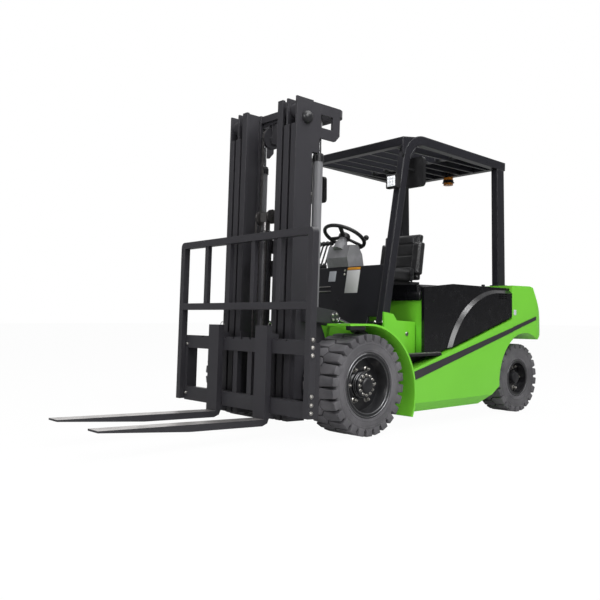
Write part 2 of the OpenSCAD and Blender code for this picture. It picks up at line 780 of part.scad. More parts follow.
module mast_outer() {
  color(mast_grey) mast_placed() difference() {
    union() {
      both() mast_rail(outer_rail_y - flange_w, true);
      both() roller(middle_web_y + roller_gap, web_outer_y + 2, head_roller_z, middle_web_y + roller_gap,
        web_outer_y + 2);
      for (z = [[130, 330], [1120, 1240]]) {
        tie(outer_tie_x, outer_tie_x + tie_t, outer_rail_y - 2, z[0], z[1]);
        both() box(outer_tie_x, rail_x + 5, outer_rail_y - 48, outer_rail_y - 2, z[0], z[1]);
      }
      tie(lift_x - 40, outer_tie_x + 4, outer_rail_y - 30, 130, lift_z0);
      both() box(outer_tie_x - 47, outer_tie_x + 4, main_chain_y - 14, main_chain_y + 14,
        outer_anchor_z - 30, outer_anchor_z);
      both() box(outer_tie_x - 5, rail_x + 5, outer_rail_y - 40, outer_rail_y, 1990, horseshoe_z1);
      both() side(outer_rail_y - 22, outer_rail_y) difference() {
        polygon([[rail_x + 5, 2105], [60, 2105], [20, 2150], [20, horseshoe_z0 + 2], [rail_x + 5,
          horseshoe_z0 + 2]]);
        translate([90, 2180]) square([120, 95]);
      }
      plan(horseshoe_z0, horseshoe_z1) difference() {
        rounded_rect(horseshoe_x, rail_x + 5, -outer_rail_y, outer_rail_y, 90);
        rounded_rect(horseshoe_x + horseshoe_w, rail_x + 200, -outer_rail_y + 26, outer_rail_y - 26, 60);
        translate([rail_x - 60, -outer_rail_y + 45]) square([200, 2 * outer_rail_y - 90]);
      }
      both() side(pivot_y0 - 3, pivot_y1) difference() {
        union() {
          translate([0, front_z]) circle(axle_tube_r + 45);
          polygon([[0, front_z - 120], [rail_x1 - 20, 250], [rail_x1 - 20, 640], [80, 440]]);
          polygon([[rail_x1 - 20, 400], [rail_x1 - 20, 900], [250, 900], [150, 700], [40, 420]]);
        }
      }
      both() for (y = [tilt_y - 27, tilt_y + 13]) side(y, y + 14) hull() {
        translate([ear_upright_x, tilt_ear_z]) circle(46);
        translate([rail_x + 40, tilt_ear_z - 40]) square([40, 110]);
      }
      both() box(rail_x + 30, rail_x + 90, pivot_y0 - 3, tilt_y + 27, tilt_ear_z - 40, tilt_ear_z + 70);
      both() rod_y(tilt_pin_r, tilt_y - 27, tilt_y + 27, ear_upright_x, tilt_ear_z);
    }
    both() rail_notch(outer_rail_y - flange_w - 1, web_outer_y);
    both() rod_y(axle_tube_r + run_fit, pivot_y0 - 30, pivot_y1 + 5, 0, front_z);
    both() rod_z(lift_r + seat_gap, lift_z0, 1900, lift_x, lift_y);
  }
}

module lift_cylinders() {
  color(mast_grey) mast_placed() both() difference() {
    rod_z(lift_r, lift_z0, lift_z1, lift_x, lift_y);
    rod_z(lift_rod_r + run_fit, lift_rod_z0 - 10, lift_z1 + 5, lift_x, lift_y);
  }
}

module mast_middle() {
  y0 = middle_y - flange_w;
  color(mast_grey) mast_placed() difference() {
    union() {
      both() mast_rail(y0, false);
      both() roller(middle_web_y - 2, web_outer_y - roller_gap, foot_roller_z, middle_web_y - 2,
        web_outer_y - roller_gap);
      both() roller(inner_web_y + roller_gap, middle_web_y - web_t + 2, head_roller_z,
        inner_web_y + roller_gap, middle_web_y - web_t + 2);
      for (z = [[150, 330], [1290, 1390], [rod_head_z0 - 20, rod_head_z1]]) {
        tie(middle_tie_x, middle_tie_x + tie_t, middle_y, z[0], z[1]);
        both() box(middle_tie_x, rail_x + 5, y0 + 2, middle_y, z[0], z[1]);
      }
      both() box(lift_x - 34, middle_tie_x + 4, lift_y - 40, middle_y, rod_head_z0, rod_head_z1);
      both() for (s = [-1, 1]) box(main_sheave_x - 40, main_sheave_x + 10,
        main_chain_y + s * (sheave_w / 2 + 6) - 4, main_chain_y + s * (sheave_w / 2 + 6) + 4,
        main_sheave_z - 40, rod_head_z0);
      both() turned_sheave(main_sheave_r, main_chain_y, main_sheave_x, main_sheave_z);
      both() rod_y(18, main_chain_y - 20, main_chain_y + 20, main_sheave_x, main_sheave_z);
    }
    both() rail_notch(y0 - 1, middle_web_y - web_t);
    both() rail_notch(middle_web_y, middle_y + 1);
  }
}

// A grooved wheel for a leaf chain
module turned_sheave(r, y, x, z) {
  half = sheave_w / 2;
  translate([0, y, 0]) turned([[0, -half], [r, -half], [r, -half + 3], [r - groove - seat_gap, -half + 3],
    [r - groove - seat_gap, half - 3],
    [r, half - 3], [r, half], [0, half]], x, z);
}

module lift_rods() {
  color(steel) mast_placed() both() rod_z(lift_rod_r, lift_rod_z0, rod_head_z0, lift_x, lift_y);
}

// A straight run of leaf chain: link packs on a thinner core
module chain_run(x0, w, z0, z1) {
  box(x0 + 2, x0 + chain_t - 2, 2, w - 2, z0, z1);
  for (i = [0:floor((z1 - z0) / chain_pitch) - 1]) {
    box(x0, x0 + chain_t, 0, w, z0 + i * chain_pitch, z0 + (i + 0.6) * chain_pitch);
  }
}

module main_chains() {
  w = sheave_w - 8;
  color(steel) mast_placed() both() {
    translate([main_sheave_x, main_chain_y - w / 2, 0]) {
      chain_run(main_sheave_r - groove, w, main_anchor_z, main_sheave_z);
      chain_run(-main_sheave_r + groove - chain_t, w, outer_anchor_z, main_sheave_z);
    }
  }
}

module mast_inner() {
  y0 = inner_y - flange_w;
  color(mast_grey) mast_placed() {
    both() mast_rail(y0, false);
    both() roller(inner_web_y - 2, middle_web_y - web_t - roller_gap, foot_roller_z,
      inner_web_y - 2, middle_web_y - web_t - roller_gap);
    for (z = [[130, 300], [mast_top_z - 60, mast_top_z - 8]]) tie(rail_x, rail_x + inner_tie_t,
      inner_y - 5, z[0], z[1]);
    box(rail_x + 5, free_x + 50, -60, 60, 270, free_z0);
    both() box(rail_x + 5, main_sheave_x + main_sheave_r + 12, main_chain_y - 14, main_chain_y + 14,
      main_anchor_z - 30 - 110, main_anchor_z - 130);
    both() box(main_sheave_x + main_sheave_r - 12, main_sheave_x + main_sheave_r + 12, main_chain_y - 14,
      main_chain_y + 14, main_anchor_z - 140, main_anchor_z);
  }
}

module free_lift_cylinder() {
  color(mast_grey) mast_placed() difference() {
    union() {
      rod_z(free_r, free_z0, free_z1, free_x, 0);
      both() box(free_x - sheave_r - 8, free_x, 0, carriage_chain_y + 10, barrel_anchor_z - 40,
        barrel_anchor_z);
    }
    rod_z(free_rod_r + run_fit, free_rod_z0 - 45, free_z1 + 5, free_x, 0);
  }
}

module crosshead() {
  color(steel) mast_placed() {
    rod_z(free_rod_r, free_rod_z0, cross_z, free_x, 0);
    box(free_x - 30, free_x + 30, -34, 34, cross_z - 30, cross_z + 40);
    both() turned_sheave(sheave_r, carriage_chain_y, free_x, cross_z + 5);
    rod_y(14, -carriage_chain_y - 14, carriage_chain_y + 14, free_x, cross_z + 5);
  }
}

module carriage_chains() {
  w = sheave_w - 8;
  color(steel) mast_placed() both() {
    translate([free_x, carriage_chain_y - w / 2, 0]) {
      chain_run(sheave_r - groove, w, carriage_z1 - 60, cross_z + 5);
      chain_run(-sheave_r + groove - chain_t, w, barrel_anchor_z, cross_z + 5);
    }
  }
}

module carriage() {
  upper = [carriage_z1 - 140, carriage_z1 - 60];
  lower = [carriage_z0 + 15, carriage_z0 + 95];
  color(mast_grey) mast_placed() {
    both() box(rail_x + flange_t + 12, carriage_x1, carriage_y - carriage_t, carriage_y, carriage_z0,
      carriage_z1);
    for (z = [upper, lower]) tie(carriage_x0, carriage_x1, carriage_half_w, z[0], z[1]);
    both() for (z = [carriage_z0 + 75, carriage_z1 - 75]) {
      roller(carriage_y + 6, inner_web_y - web_t - roller_gap, z, carriage_y - 2, carriage_y + 8);
    }
    both() box(free_x + sheave_r - 14, carriage_x0 + 4, carriage_chain_y - 16, carriage_chain_y + 16,
      upper[1] - 40, upper[1]);
  }
}

// Side shifter with the two fork bars
module shifter_frame() {
  pads = [[carriage_z1 - 136, bar_top_z - lip_h - 8], [bar_bottom_z + lip_h + 8, carriage_z0 + 92]];
  color(mast_grey) mast_placed() difference() {
    union() {
      box(bar_x0, bar_x1, -backrest_y0 + seat_gap, backrest_y0 - seat_gap, bar_top_z - upper_bar_h,
        bar_top_z - lip_h);
      box(bar_x0 + lip_t, bar_x1, -backrest_y0 + seat_gap, backrest_y0 - seat_gap, bar_top_z - lip_h - 1,
        bar_top_z);
      box(bar_x0, bar_x1, -backrest_y0 + seat_gap, backrest_y0 - seat_gap, bar_bottom_z + lip_h,
        bar_bottom_z + lower_bar_h);
      box(bar_x0 + lip_t, bar_x1, -backrest_y0 + seat_gap, backrest_y0 - seat_gap, bar_bottom_z,
        bar_bottom_z + lip_h + 1);
      both() box(bar_x0 - 40, bar_x1, backrest_y0 - 26, backrest_y0 - seat_gap, bar_bottom_z,
        bar_top_z - 20);
      for (z = pads, s = [-1, 1]) box(carriage_x1 + seat_gap, bar_x0 + 2, s * 300 - 70, s * 300 + 70,
        z[0], z[1]);
      both() box(bar_x0, bar_x1 - 12, 60, 110, bar_bottom_z + lower_bar_h - 2, bar_top_z - upper_bar_h + 2);
    }
    for (i = [-5:5]) box(bar_x0 + lip_t - 2, bar_x1 + 2, i * 100 - 11, i * 100 + 11, bar_top_z - 14,
      bar_top_z + 2);
  }
}

module load_backrest() {
  color(mast_grey) mast_placed() intersection() {
    front(backrest_x0, backrest_x1) rounded_rect(-backrest_y1, backrest_y1, backrest_foot_z - 100,
      backrest_top_z, 40);
    union() {
      both() box(backrest_x0, backrest_x1, backrest_y0, backrest_y1, backrest_foot_z, backrest_top_z);
      for (z = [backrest_top_z - backrest_bar, mid_bar_z - backrest_bar / 2]) {
        box(backrest_x0, backrest_x1, -backrest_y0 - 1, backrest_y0 + 1, z, z + backrest_bar);
      }
      for (y = [-435, -145, 145, 435]) {
        box(backrest_x0 + 8, backrest_x1 - 8, y - 20, y + 20, mid_bar_z, backrest_top_z - 10);
      }
    }
  }
}

// A fork: blade, shank and the two hooks that hold it on the fork bars
module fork(y) {
  shank_x0 = shank_x - fork_t;
  heel_r = 60;
  hook_x0 = bar_x0 - 4;
  color(mast_grey) mast_placed() side(y - fork_w / 2, y + fork_w / 2) {
    polygon([[shank_x0 + heel_r, fork_heel_z], [1190, fork_heel_z], [fork_tip_x, fork_top_z - fork_tip_t],
      [fork_tip_x, fork_top_z], [shank_x, fork_top_z], [shank_x, shank_top_z], [shank_x0, shank_top_z],
      [shank_x0, fork_heel_z + heel_r], [shank_x0 + heel_r * 0.29, fork_heel_z + heel_r * 0.29]]);
    polygon([[shank_x0 + 1, bar_top_z + seat_gap], [shank_x0 + 1, bar_top_z + 40], [hook_x0,
      bar_top_z + 30],
      [hook_x0, bar_top_z - lip_h + seat_gap], [bar_x0 + lip_t - seat_gap, bar_top_z - lip_h + seat_gap],
      [bar_x0 + lip_t - seat_gap, bar_top_z + seat_gap]]);
    polygon([[shank_x0 + 1, bar_bottom_z - seat_gap], [bar_x0 + lip_t - seat_gap, bar_bottom_z - seat_gap],
      [bar_x0 + lip_t - seat_gap, bar_bottom_z + lip_h - seat_gap], [hook_x0 + 2,
        bar_bottom_z + lip_h - seat_gap],
      [hook_x0 + 2, bar_bottom_z - 20], [shank_x0 + 1, bar_bottom_z - 36]]);
  }
}

module fork_left() {
  fork(fork_spread / 2);
}

module fork_right() {
  fork(-fork_spread / 2);
}

// Tilt cylinders, drawn along their own line
module tilt_line() {
  placed() translate([tilt_pin_x, 0, tilt_pin_z]) rotate([0, -tilt_angle, 0]) children();
}

module tilt_barrels() {
  color(black) tilt_line() both() difference() {
    union() {
      translate([52, tilt_y, 0]) rotate([0, 90, 0]) cylinder(h = tilt_barrel_len - 52, r = tilt_barrel_r);
      rod_y(38, tilt_y - 17, tilt_y + 17, 0, 0);
      box(0, 60, tilt_y - 17, tilt_y + 17, -30, 30);
    }
    rod_y(tilt_pin_r + run_fit, tilt_y - 60, tilt_y + 60, 0, 0);
    translate([180, tilt_y, 0]) rotate([0, 90, 0]) cylinder(h = 400, r = tilt_rod_r + run_fit);
  }
}

module tilt_rods() {
  color(steel) tilt_line() both() difference() {
    union() {
      translate([250, tilt_y, 0]) rotate([0, 90, 0]) cylinder(h = tilt_len - 250 - 64, r = tilt_rod_r);
      box(tilt_len - 70, tilt_len - 30, tilt_y - 11, tilt_y + 11, -18, 18);
      rod_y(42, tilt_y - 11, tilt_y + 11, tilt_len, 0);
    }
    rod_y(tilt_pin_r + tilt_eye_clear, tilt_y - 60, tilt_y + 60, tilt_len, 0);
  }
}

// Wheels, drawn with y = 0 on the tyre's middle and outwards as +y
module tyre_shape(r, half, bead_r) {
  turned([[bead_r, -half + 14.5], [bead_r + 14.5, -half + 8.5], [bead_r + 14.5, -half + 3],
    [bead_r + 40, -half], [r - 26, -half], [r, -half + 34], [r, half - 34], [r - 26, half],
    [bead_r + 40, half], [bead_r + 14.5, half - 3], [bead_r + 14.5, half - 8.5], [bead_r, half - 14.5]],
      0, 0);
}

// Slanted grooves between the lugs, staggered on the two halves of a tread
module tread_cuts(r, half, count, w, depth) {
  for (i = [0:count - 1], s = [-1, 1]) rotate([0, (i + (s > 0 ? 0.5 : 0)) * 360 / count, 0])
    translate([0, s * half * 0.12, r - depth]) rotate([0, 0, s * 18])
    translate([-w / 2, s > 0 ? 0 : -half * 1.2, 0]) cube([w, half * 1.2, depth + 20]);
}

// A dished rim: barrel, disc and hub
module rim_shape(r, half, disc_y, hub_r, stub_r) {
  difference() {
    turned([[stub_r + run_fit, disc_y], [r - 18, disc_y], [r - 18, -half + 4], [r + 14, -half + 4],
      [r + 14, -half + 8], [r, -half + 14], [r, half - 14], [r + 14, half - 8], [r + 14, half - 4],
      [r - 14, half - 4], [r - 16, disc_y + 26], [hub_r + 40, disc_y + 22], [hub_r, disc_y + 30],
      [hub_r - 6, disc_y + 62], [stub_r + run_fit, disc_y + 62]], 0, 0);
  }
}

module front_wheel_placed(s) {
  placed() translate([0, s * front_track / 2, front_z]) mirror([0, s < 0 ? 1 : 0, 0]) children();
}

module rear_wheel_placed(s) {
  placed() translate([rear_x, s * rear_track / 2, rear_z]) mirror([0, s < 0 ? 1 : 0, 0]) children();
}

module front_tyre(s) {
  color(rubber) front_wheel_placed(s) difference() {
    tyre_shape(front_tyre_d / 2, front_tyre_w / 2, front_rim_d / 2 + seat_gap);
    tread_cuts(front_tyre_d / 2, front_tyre_w / 2, 24, 20, 24);
  }
}

module front_rim(s) {
  color(black) front_wheel_placed(s) rim_shape(front_rim_d / 2, front_tyre_w / 2, -48, 85, front_stub_r);
}

module rear_tyre(s) {
  color(rubber) rear_wheel_placed(s) difference() {
    tyre_shape(rear_tyre_d / 2, rear_tyre_w / 2, rear_rim_d / 2 + seat_gap);
    tread_cuts(rear_tyre_d / 2, rear_tyre_w / 2, 20, 16, 20);
  }
}

module rear_rim(s) {
  color(black) rear_wheel_placed(s) rim_shape(rear_rim_d / 2, rear_tyre_w / 2, 5, 58, rear_stub_r);
}

module tyre_front_left() {
  front_tyre(1);
}

module tyre_front_right() {
  front_tyre(-1);
}

module rim_front_left() {
  front_rim(1);
}

module rim_front_right() {
  front_rim(-1);
}

module tyre_rear_left() {
  rear_tyre(1);
}

module tyre_rear_right() {
  rear_tyre(-1);
}

module rim_rear_left() {
  rear_rim(1);
}

module rim_rear_right() {
  rear_rim(-1);
}

// A steering knuckle: kingpin, block and wheel spindle
module knuckle(s) {
  color(black) placed() mirror([0, s < 0 ? 1 : 0, 0]) {
    rod_z(kingpin_r, rear_z - ear_z1, rear_z + ear_z1, rear_x, kingpin_y);
    rod_z(ear_r, rear_z - ear_z0 + 0.5, rear_z + ear_z0 - 0.5, rear_x, kingpin_y);
    rod_y(ear_r - 4, kingpin_y, rear_disc_y - 8, rear_x, rear_z);
    rod_y(rear_stub_r, kingpin_y, rear_disc_y + 62, rear_x, rear_z);
  }
}

module knuckle_left() {
  knuckle(1);
}

module knuckle_right() {
  knuckle(-1);
}

chassis_frame();
drive_axle();
steer_axle();
battery_block();
counterweight();
side_panels();
side_stripes();
fenders();
step_plates();
cab_sides();
floor_plate();
front_cowl();
dash_console();
steering_wheel();
control_levers();
foot_pedals();
hood_lid();
hood_sides();
hood_front();
seat_base();
seat_cushion();
seat_back();
guard_hoops();
guard_rear_pillars();
guard_header();
guard_roof_bars();
work_lamps();
mirrors();
warning_lamp();
mast_outer();
lift_cylinders();
mast_middle();
lift_rods();
main_chains();
mast_inner();
free_lift_cylinder();
crosshead();
carriage_chains();
carriage();
shifter_frame();
load_backrest();
fork_left();
fork_right();
tilt_barrels();
tilt_rods();
tyre_front_left();
tyre_front_right();
rim_front_left();
rim_front_right();
knuckle_left();
knuckle_right();
tyre_rear_left();
tyre_rear_right();
rim_rear_left();
rim_rear_right();
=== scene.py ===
# %% [markdown]
# # A forklift truck, dressed around its CAD frame
# The frame brings every rigid piece at its real size. This lesson gives each piece a finish, and adds what a
# drawing leaves out: bolts, hoses, padding, lenses, blank plates and moulded panels. We begin by loading the
# frame.

# %% Load the frame
import json
import math

import bpy
from mathutils import Matrix, Vector


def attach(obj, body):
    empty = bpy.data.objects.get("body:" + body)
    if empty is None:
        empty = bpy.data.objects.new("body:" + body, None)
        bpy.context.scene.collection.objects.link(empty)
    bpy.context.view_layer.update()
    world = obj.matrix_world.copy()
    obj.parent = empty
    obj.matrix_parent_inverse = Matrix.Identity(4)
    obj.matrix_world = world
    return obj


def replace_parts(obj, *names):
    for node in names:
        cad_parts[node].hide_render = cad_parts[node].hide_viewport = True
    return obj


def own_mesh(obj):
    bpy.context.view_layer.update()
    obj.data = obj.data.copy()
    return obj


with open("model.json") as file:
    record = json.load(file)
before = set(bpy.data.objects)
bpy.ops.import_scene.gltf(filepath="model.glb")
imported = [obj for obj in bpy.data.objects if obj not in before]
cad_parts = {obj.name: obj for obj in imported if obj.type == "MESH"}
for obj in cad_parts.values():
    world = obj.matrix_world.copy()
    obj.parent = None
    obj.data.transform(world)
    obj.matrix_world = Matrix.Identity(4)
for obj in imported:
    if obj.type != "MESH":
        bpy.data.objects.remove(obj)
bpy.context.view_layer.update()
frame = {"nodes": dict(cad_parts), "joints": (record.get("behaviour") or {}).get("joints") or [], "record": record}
nodes = frame["nodes"]
joints = {j["name"]: j for j in frame["joints"]}
AXLE = Vector(joints["front_left_spin"]["pos_m"])
MAST_UP = Vector(joints["main_lift"]["axis"])
MAST_FORE = Vector((MAST_UP.z, 0, -MAST_UP.x))
HANDS = ((1, "left"), (-1, "right"))


def truck(x, y, z):
    """A point given in millimetres from the front axle's place on the ground."""
    return Vector((AXLE.x + x / 1000, y / 1000, z / 1000))


def mast(x, y, z):
    """A point of the upright mast, in millimetres from the front axle, leaned as it is parked."""
    return AXLE + MAST_FORE * (x / 1000) + MAST_UP * (z / 1000 - AXLE.z) + Vector((0, y / 1000, 0))


# %% [markdown]
# ## Camera
# A photograph fixes the camera as much as the object. The place, turn and focal length below were solved from
# the wheels, forks, mast and guard, so that the same corners fall on the same pixels. A camera in Blender
# looks along its own -Z, so we build its three axes and hand them over as a matrix.

# %% Camera
EYE = truck(3669.5, 4212.4, 837.9)
YAW, PITCH, ROLL = (math.radians(a) for a in (228.87, 1.19, 0.28))
FOCAL_PIXELS = 727.1
IMAGE_PIXELS = 600
ahead = Vector((math.cos(YAW) * math.cos(PITCH), math.sin(YAW) * math.cos(PITCH), math.sin(PITCH)))
level_right = Vector((math.sin(YAW), -math.cos(YAW), 0))
level_up = level_right.cross(ahead)
right = level_right * math.cos(ROLL) + level_up * math.sin(ROLL)
up = level_up * math.cos(ROLL) - level_right * math.sin(ROLL)
camera_data = bpy.data.cameras.new("camera")
camera_data.sensor_width = 36
camera_data.lens = FOCAL_PIXELS / IMAGE_PIXELS * camera_data.sensor_width
camera_data.clip_end = 200
camera = bpy.data.objects.new("camera", camera_data)
bpy.context.scene.collection.objects.link(camera)
camera.matrix_world = Matrix.Translation(EYE) @ Matrix((right, up, -ahead)).transposed().to_4x4()
bpy.context.scene.camera = camera
bpy.context.scene.view_settings.view_transform = "Standard"
print("lens", round(camera_data.lens, 2), "mm")

# %% [markdown]
# ## Shader sums as Python
# Procedural finishes are sums: noise times a share, plus a base. Wiring them by hand hides the sum, so one
# small class wraps a socket and lets Python's own operators add the Math nodes.


# %% Shader helper
class Wire:
    """A socket of a material's node tree that can be added, scaled and fed to other nodes."""

    def __init__(self, tree, socket):
        self.tree = tree
        self.socket = socket

    def node(self, kind, settings=None, out=0, **inputs):
        """Adds a node, sets its settings first, then its sockets, and returns one of its outputs."""
        made = self.tree.nodes.new("ShaderNode" + kind)
        for key, value in (settings or {}).items():
            if key == "stops":
                set_ramp(made.color_ramp, value)
            else:
                setattr(made, key, value)
        for key, value in inputs.items():
            target = made.inputs[int(key[1:])] if key[1:].isdigit() else made.inputs[key.replace("_", " ")]
            if isinstance(value, Wire):
                self.tree.links.new(value.socket, target)
            else:
                target.default_value = value
        return Wire(self.tree, made.outputs[out])

    def math(self, operation, other=0.0, swap=False):
        first, second = (other, self) if swap else (self, other)
        return self.node("Math", {"operation": operation}, i0=first, i1=second)

    def __add__(self, other):
        return self.math("ADD", other)

    def __sub__(self, other):
        return self.math("SUBTRACT", other)

    def __rsub__(self, other):
        return self.math("SUBTRACT", other, swap=True)

    def __mul__(self, other):
        return self.math("MULTIPLY", other)

    __radd__ = __add__
    __rmul__ = __mul__

    def ramp(self, low, high):
        """0 below low and 1 above high, smooth between."""
        return self.node("MapRange", {"interpolation_type": "SMOOTHSTEP"}, i0=self, i1=low, i2=high)

    def mix(self, dark, light):
        """A colour between two, by this value."""
        return self.node("Mix", {"data_type": "RGBA"}, out=2, i0=self, i6=dark, i7=light)

    def noise(self, scale, detail=3.0):
        """Noise over a coordinate."""
        return self.node("TexNoise", Vector=self, Scale=scale, Detail=detail)


def set_ramp(ramp, stops):
    for element, (place, colour) in zip(ramp.elements, stops):
        element.position = place
        element.color = colour


def rgba(colour):
    return (*colour, 1.0)


def start_material(name):
    """A material with its shader, and a wire that carries Object coordinates."""
    material = bpy.data.materials.new(name)
    material.use_nodes = True
    tree = material.node_tree
    shader = tree.nodes["Principled BSDF"]
    place = Wire(tree, tree.nodes.new("ShaderNodeTexCoord").outputs["Object"])
    return material, shader, place


def feed(shader, socket, value):
    """Sets a shader's socket to a constant, or links a wire to it."""
    if isinstance(value, Wire):
        value.tree.links.new(value.socket, shader.inputs[socket])
    else:
        shader.inputs[socket].default_value = value


def bump(shader, height, strength, depth, edge=0.0):
    """Feeds a height as bump. An edge radius also rounds the look of sharp edges."""
    rounded = {"Normal": height.node("Bevel", {"samples": 4}, Radius=edge)} if edge else {}
    feed(shader, "Normal", height.node("Bump", Strength=strength, Distance=depth, Height=height, **rounded))


print("shader helper ready")

# %% [markdown]
# ## Finishes
# Sprayed paint has orange peel: a millimetre-scale ripple that breaks up reflections. It also gathers a thin
# film of dust low down. Both are noise on Object coordinates, so the same finish fits every panel.


# %% Paint and plastic
def paint(name, colour, roughness, peel=0.25, dust=0.12, coat=0.3, edge=0.0):
    """Sprayed paint with orange peel, and road dust that fades out with height."""
    material, shader, place = start_material(name)
    height = place.node("SeparateXYZ", out=2, Vector=place)
    cloud = place.noise(2.2, 5.0)
    low_down = (1 - height.ramp(0.05, 0.9)) * cloud.ramp(0.42, 0.75)
    dusty = tuple(c * 0.62 + 0.05 for c in colour)
    tone = cloud.ramp(0.3, 0.75).mix(rgba([c * 0.93 for c in colour]), rgba(colour))
    feed(shader, "Base Color", (low_down * dust).node("Mix", {"data_type": "RGBA"}, out=2, i0=low_down * dust,
                                                      i6=tone, i7=rgba(dusty)))
    feed(shader, "Roughness", place.noise(9.0) * 0.12 + (roughness - 0.06) + low_down * 0.15)
    feed(shader, "Coat Weight", coat)
    feed(shader, "Coat Roughness", 0.12)
    bump(shader, place.noise(420.0, 1.0), peel, 0.0004, edge)
    return material


def plastic(name, colour, roughness, grain=900.0, strength=0.2, coat=0.0, lift=0.004):
    """Moulded plastic with a fine leather-like grain, scuffed a little lighter in places."""
    material, shader, place = start_material(name)
    scuff = place.noise(14.0, 6.0).ramp(0.45, 0.8)
    feed(shader, "Base Color", scuff.mix(rgba(colour), rgba([c * 1.25 + lift for c in colour])))
    feed(shader, "Roughness", scuff * 0.12 + roughness)
    feed(shader, "Coat Weight", coat)
    feed(shader, "Coat Roughness", 0.06)
    cells = place.node("TexVoronoi", Vector=place, Scale=grain)
    bump(shader, cells, strength, 0.0003)
    return material


GREEN = (0.158, 0.545, 0.030)
CHARCOAL = (0.030, 0.029, 0.034)
BLACK = (0.008, 0.008, 0.009)
finish = {
    "body_paint": paint("green_paint", GREEN, 0.36),
    "weight_paint": paint("green_casting_paint", GREEN, 0.42, peel=0.5),
    "stripe_paint": paint("band_paint", (0.030, 0.027, 0.032), 0.45, coat=0.05),
    "mast_paint": paint("mast_paint", CHARCOAL, 0.42, peel=0.4, coat=0.1, edge=0.004),
    "guard_paint": paint("guard_paint", (0.014, 0.014, 0.018), 0.30, coat=0.3, edge=0.016),
    "axle_paint": paint("axle_paint", (0.010, 0.010, 0.011), 0.5),
    "rim_paint": paint("rim_paint", (0.009, 0.009, 0.011), 0.30),
    "battery_case": paint("battery_case", (0.02, 0.02, 0.02), 0.5),
    "hood_plastic": plastic("hood_gloss", (0.004, 0.004, 0.005), 0.22, strength=0.02, coat=0.1, lift=0.001),
    "cab_plastic": plastic("cab_plastic", BLACK, 0.50),
    "dash_plastic": plastic("dash_plastic", (0.20, 0.20, 0.21), 0.48),
    "lamp_housing": plastic("lamp_housing", BLACK, 0.42),
    "amber_lens": plastic("amber_lens", (0.42, 0.15, 0.02), 0.15, strength=0.05, coat=0.6),
}
print("paints and plastics:", len(finish))

# %% [markdown]
# Bare metal and rubber need other marks. Hard chrome is nearly even. A fork's blade is painted, but pallets
# polish its upper face to bright steel, so its mask reads the face's normal and the height of the blade.


# %% Metal, rubber and vinyl
def metal(name, colour, roughness, stretch=(1, 1, 1), marks=0.15):
    """Bare metal with long draw marks along the axis that isn't stretched."""
    material, shader, place = start_material(name)
    lines = place.node("Mapping", Vector=place, Scale=stretch).noise(60.0, 4.0)
    feed(shader, "Base Color", lines.ramp(0.3, 0.7).mix(rgba([c * 0.8 for c in colour]), rgba(colour)))
    feed(shader, "Metallic", 1.0)
    feed(shader, "Roughness", lines * marks + roughness)
    bump(shader, lines, 0.08, 0.0003)
    return material


def fork_steel():
    """Charcoal paint, worn to steel where loads slide over the blade."""
    material, shader, place = start_material("fork_steel")
    normal = place.node("NewGeometry", out=1)
    facing = normal.node("SeparateXYZ", out=2, Vector=normal)
    height = place.node("SeparateXYZ", out=2, Vector=place)
    streaks = place.node("Mapping", Vector=place, Scale=(1, 14, 14)).noise(9.0, 6.0)
    worn = facing.ramp(0.6, 0.9) * (1 - height.ramp(0.20, 0.26)) * streaks.ramp(0.25, 0.55)
    feed(shader, "Base Color", worn.mix(rgba(CHARCOAL), (0.52, 0.50, 0.49, 1)))
    feed(shader, "Metallic", worn * 0.9)
    feed(shader, "Roughness", worn * -0.06 + 0.42)
    bump(shader, streaks, 0.1, 0.0005)
    return material


def tyre_rubber():
    """Solid rubber: dark grey, dusty in patches."""
    material, shader, place = start_material("tyre_rubber")
    dust = place.noise(6.0, 6.0).ramp(0.35, 0.75)
    feed(shader, "Base Color", dust.mix((0.068, 0.066, 0.072, 1), (0.120, 0.116, 0.124, 1)))
    feed(shader, "Roughness", place.noise(30.0) * 0.15 + 0.55)
    bump(shader, place.noise(260.0, 2.0), 0.3, 0.0006)
    return material


def vinyl():
    """Seat vinyl with a pebbled grain and a soft sheen."""
    material, shader, place = start_material("seat_vinyl")
    pebble = place.node("TexVoronoi", Vector=place, Scale=330.0)
    worn = place.noise(11.0, 5.0).ramp(0.4, 0.8)
    feed(shader, "Base Color", worn.mix((0.011, 0.011, 0.012, 1), (0.028, 0.028, 0.030, 1)))
    feed(shader, "Roughness", worn * 0.10 + 0.30)
    feed(shader, "Sheen Weight", 0.10)
    bump(shader, pebble, 0.35, 0.0006)
    return material


finish["fork_steel"] = fork_steel()
finish["tread_rubber"] = tyre_rubber()
finish["seat_vinyl"] = vinyl()
finish["rod_chrome"] = metal("rod_chrome", (0.78, 0.78, 0.80), 0.08, marks=0.06)
finish["chain_steel"] = metal("chain_steel", (0.30, 0.29, 0.29), 0.30)
bolt_zinc = metal("bolt_zinc", (0.72, 0.70, 0.66), 0.22)
hose_rubber = plastic("hose_rubber", (0.010, 0.010, 0.011), 0.45, strength=0.1)
print("finishes:", sorted(finish))

# %% [markdown]
# ## Dressing the frame
# Each CAD node already names its slot in the record, so the frame is dressed in one loop. Only the barrels of the
# main lift cylinders differ from their slot: they are sprayed a lighter grey than the mast.

# %% Dress the nodes
for part in frame["record"]["subparts"]:
    mesh = nodes[part["node"]].data
    mesh.materials.clear()
    mesh.materials.append(finish[part["material_slot"]])
cylinder_grey = paint("cylinder_grey", (0.17, 0.17, 0.18), 0.38, peel=0.3)
nodes["lift_cylinders"].data.materials[0] = cylinder_grey

# %% [markdown]
# ## Modelling helpers
# Small hardware is modelled once and copied. A lathe piece starts as a disc that is extruded ring by ring, and
# a block starts as a cube whose edges are rounded. Every piece ends with its place in its mesh, a finish, and
# the body that carries it.


# %% Blocks, lathe pieces and copies
def deselect():
    bpy.ops.object.select_all(action="DESELECT")


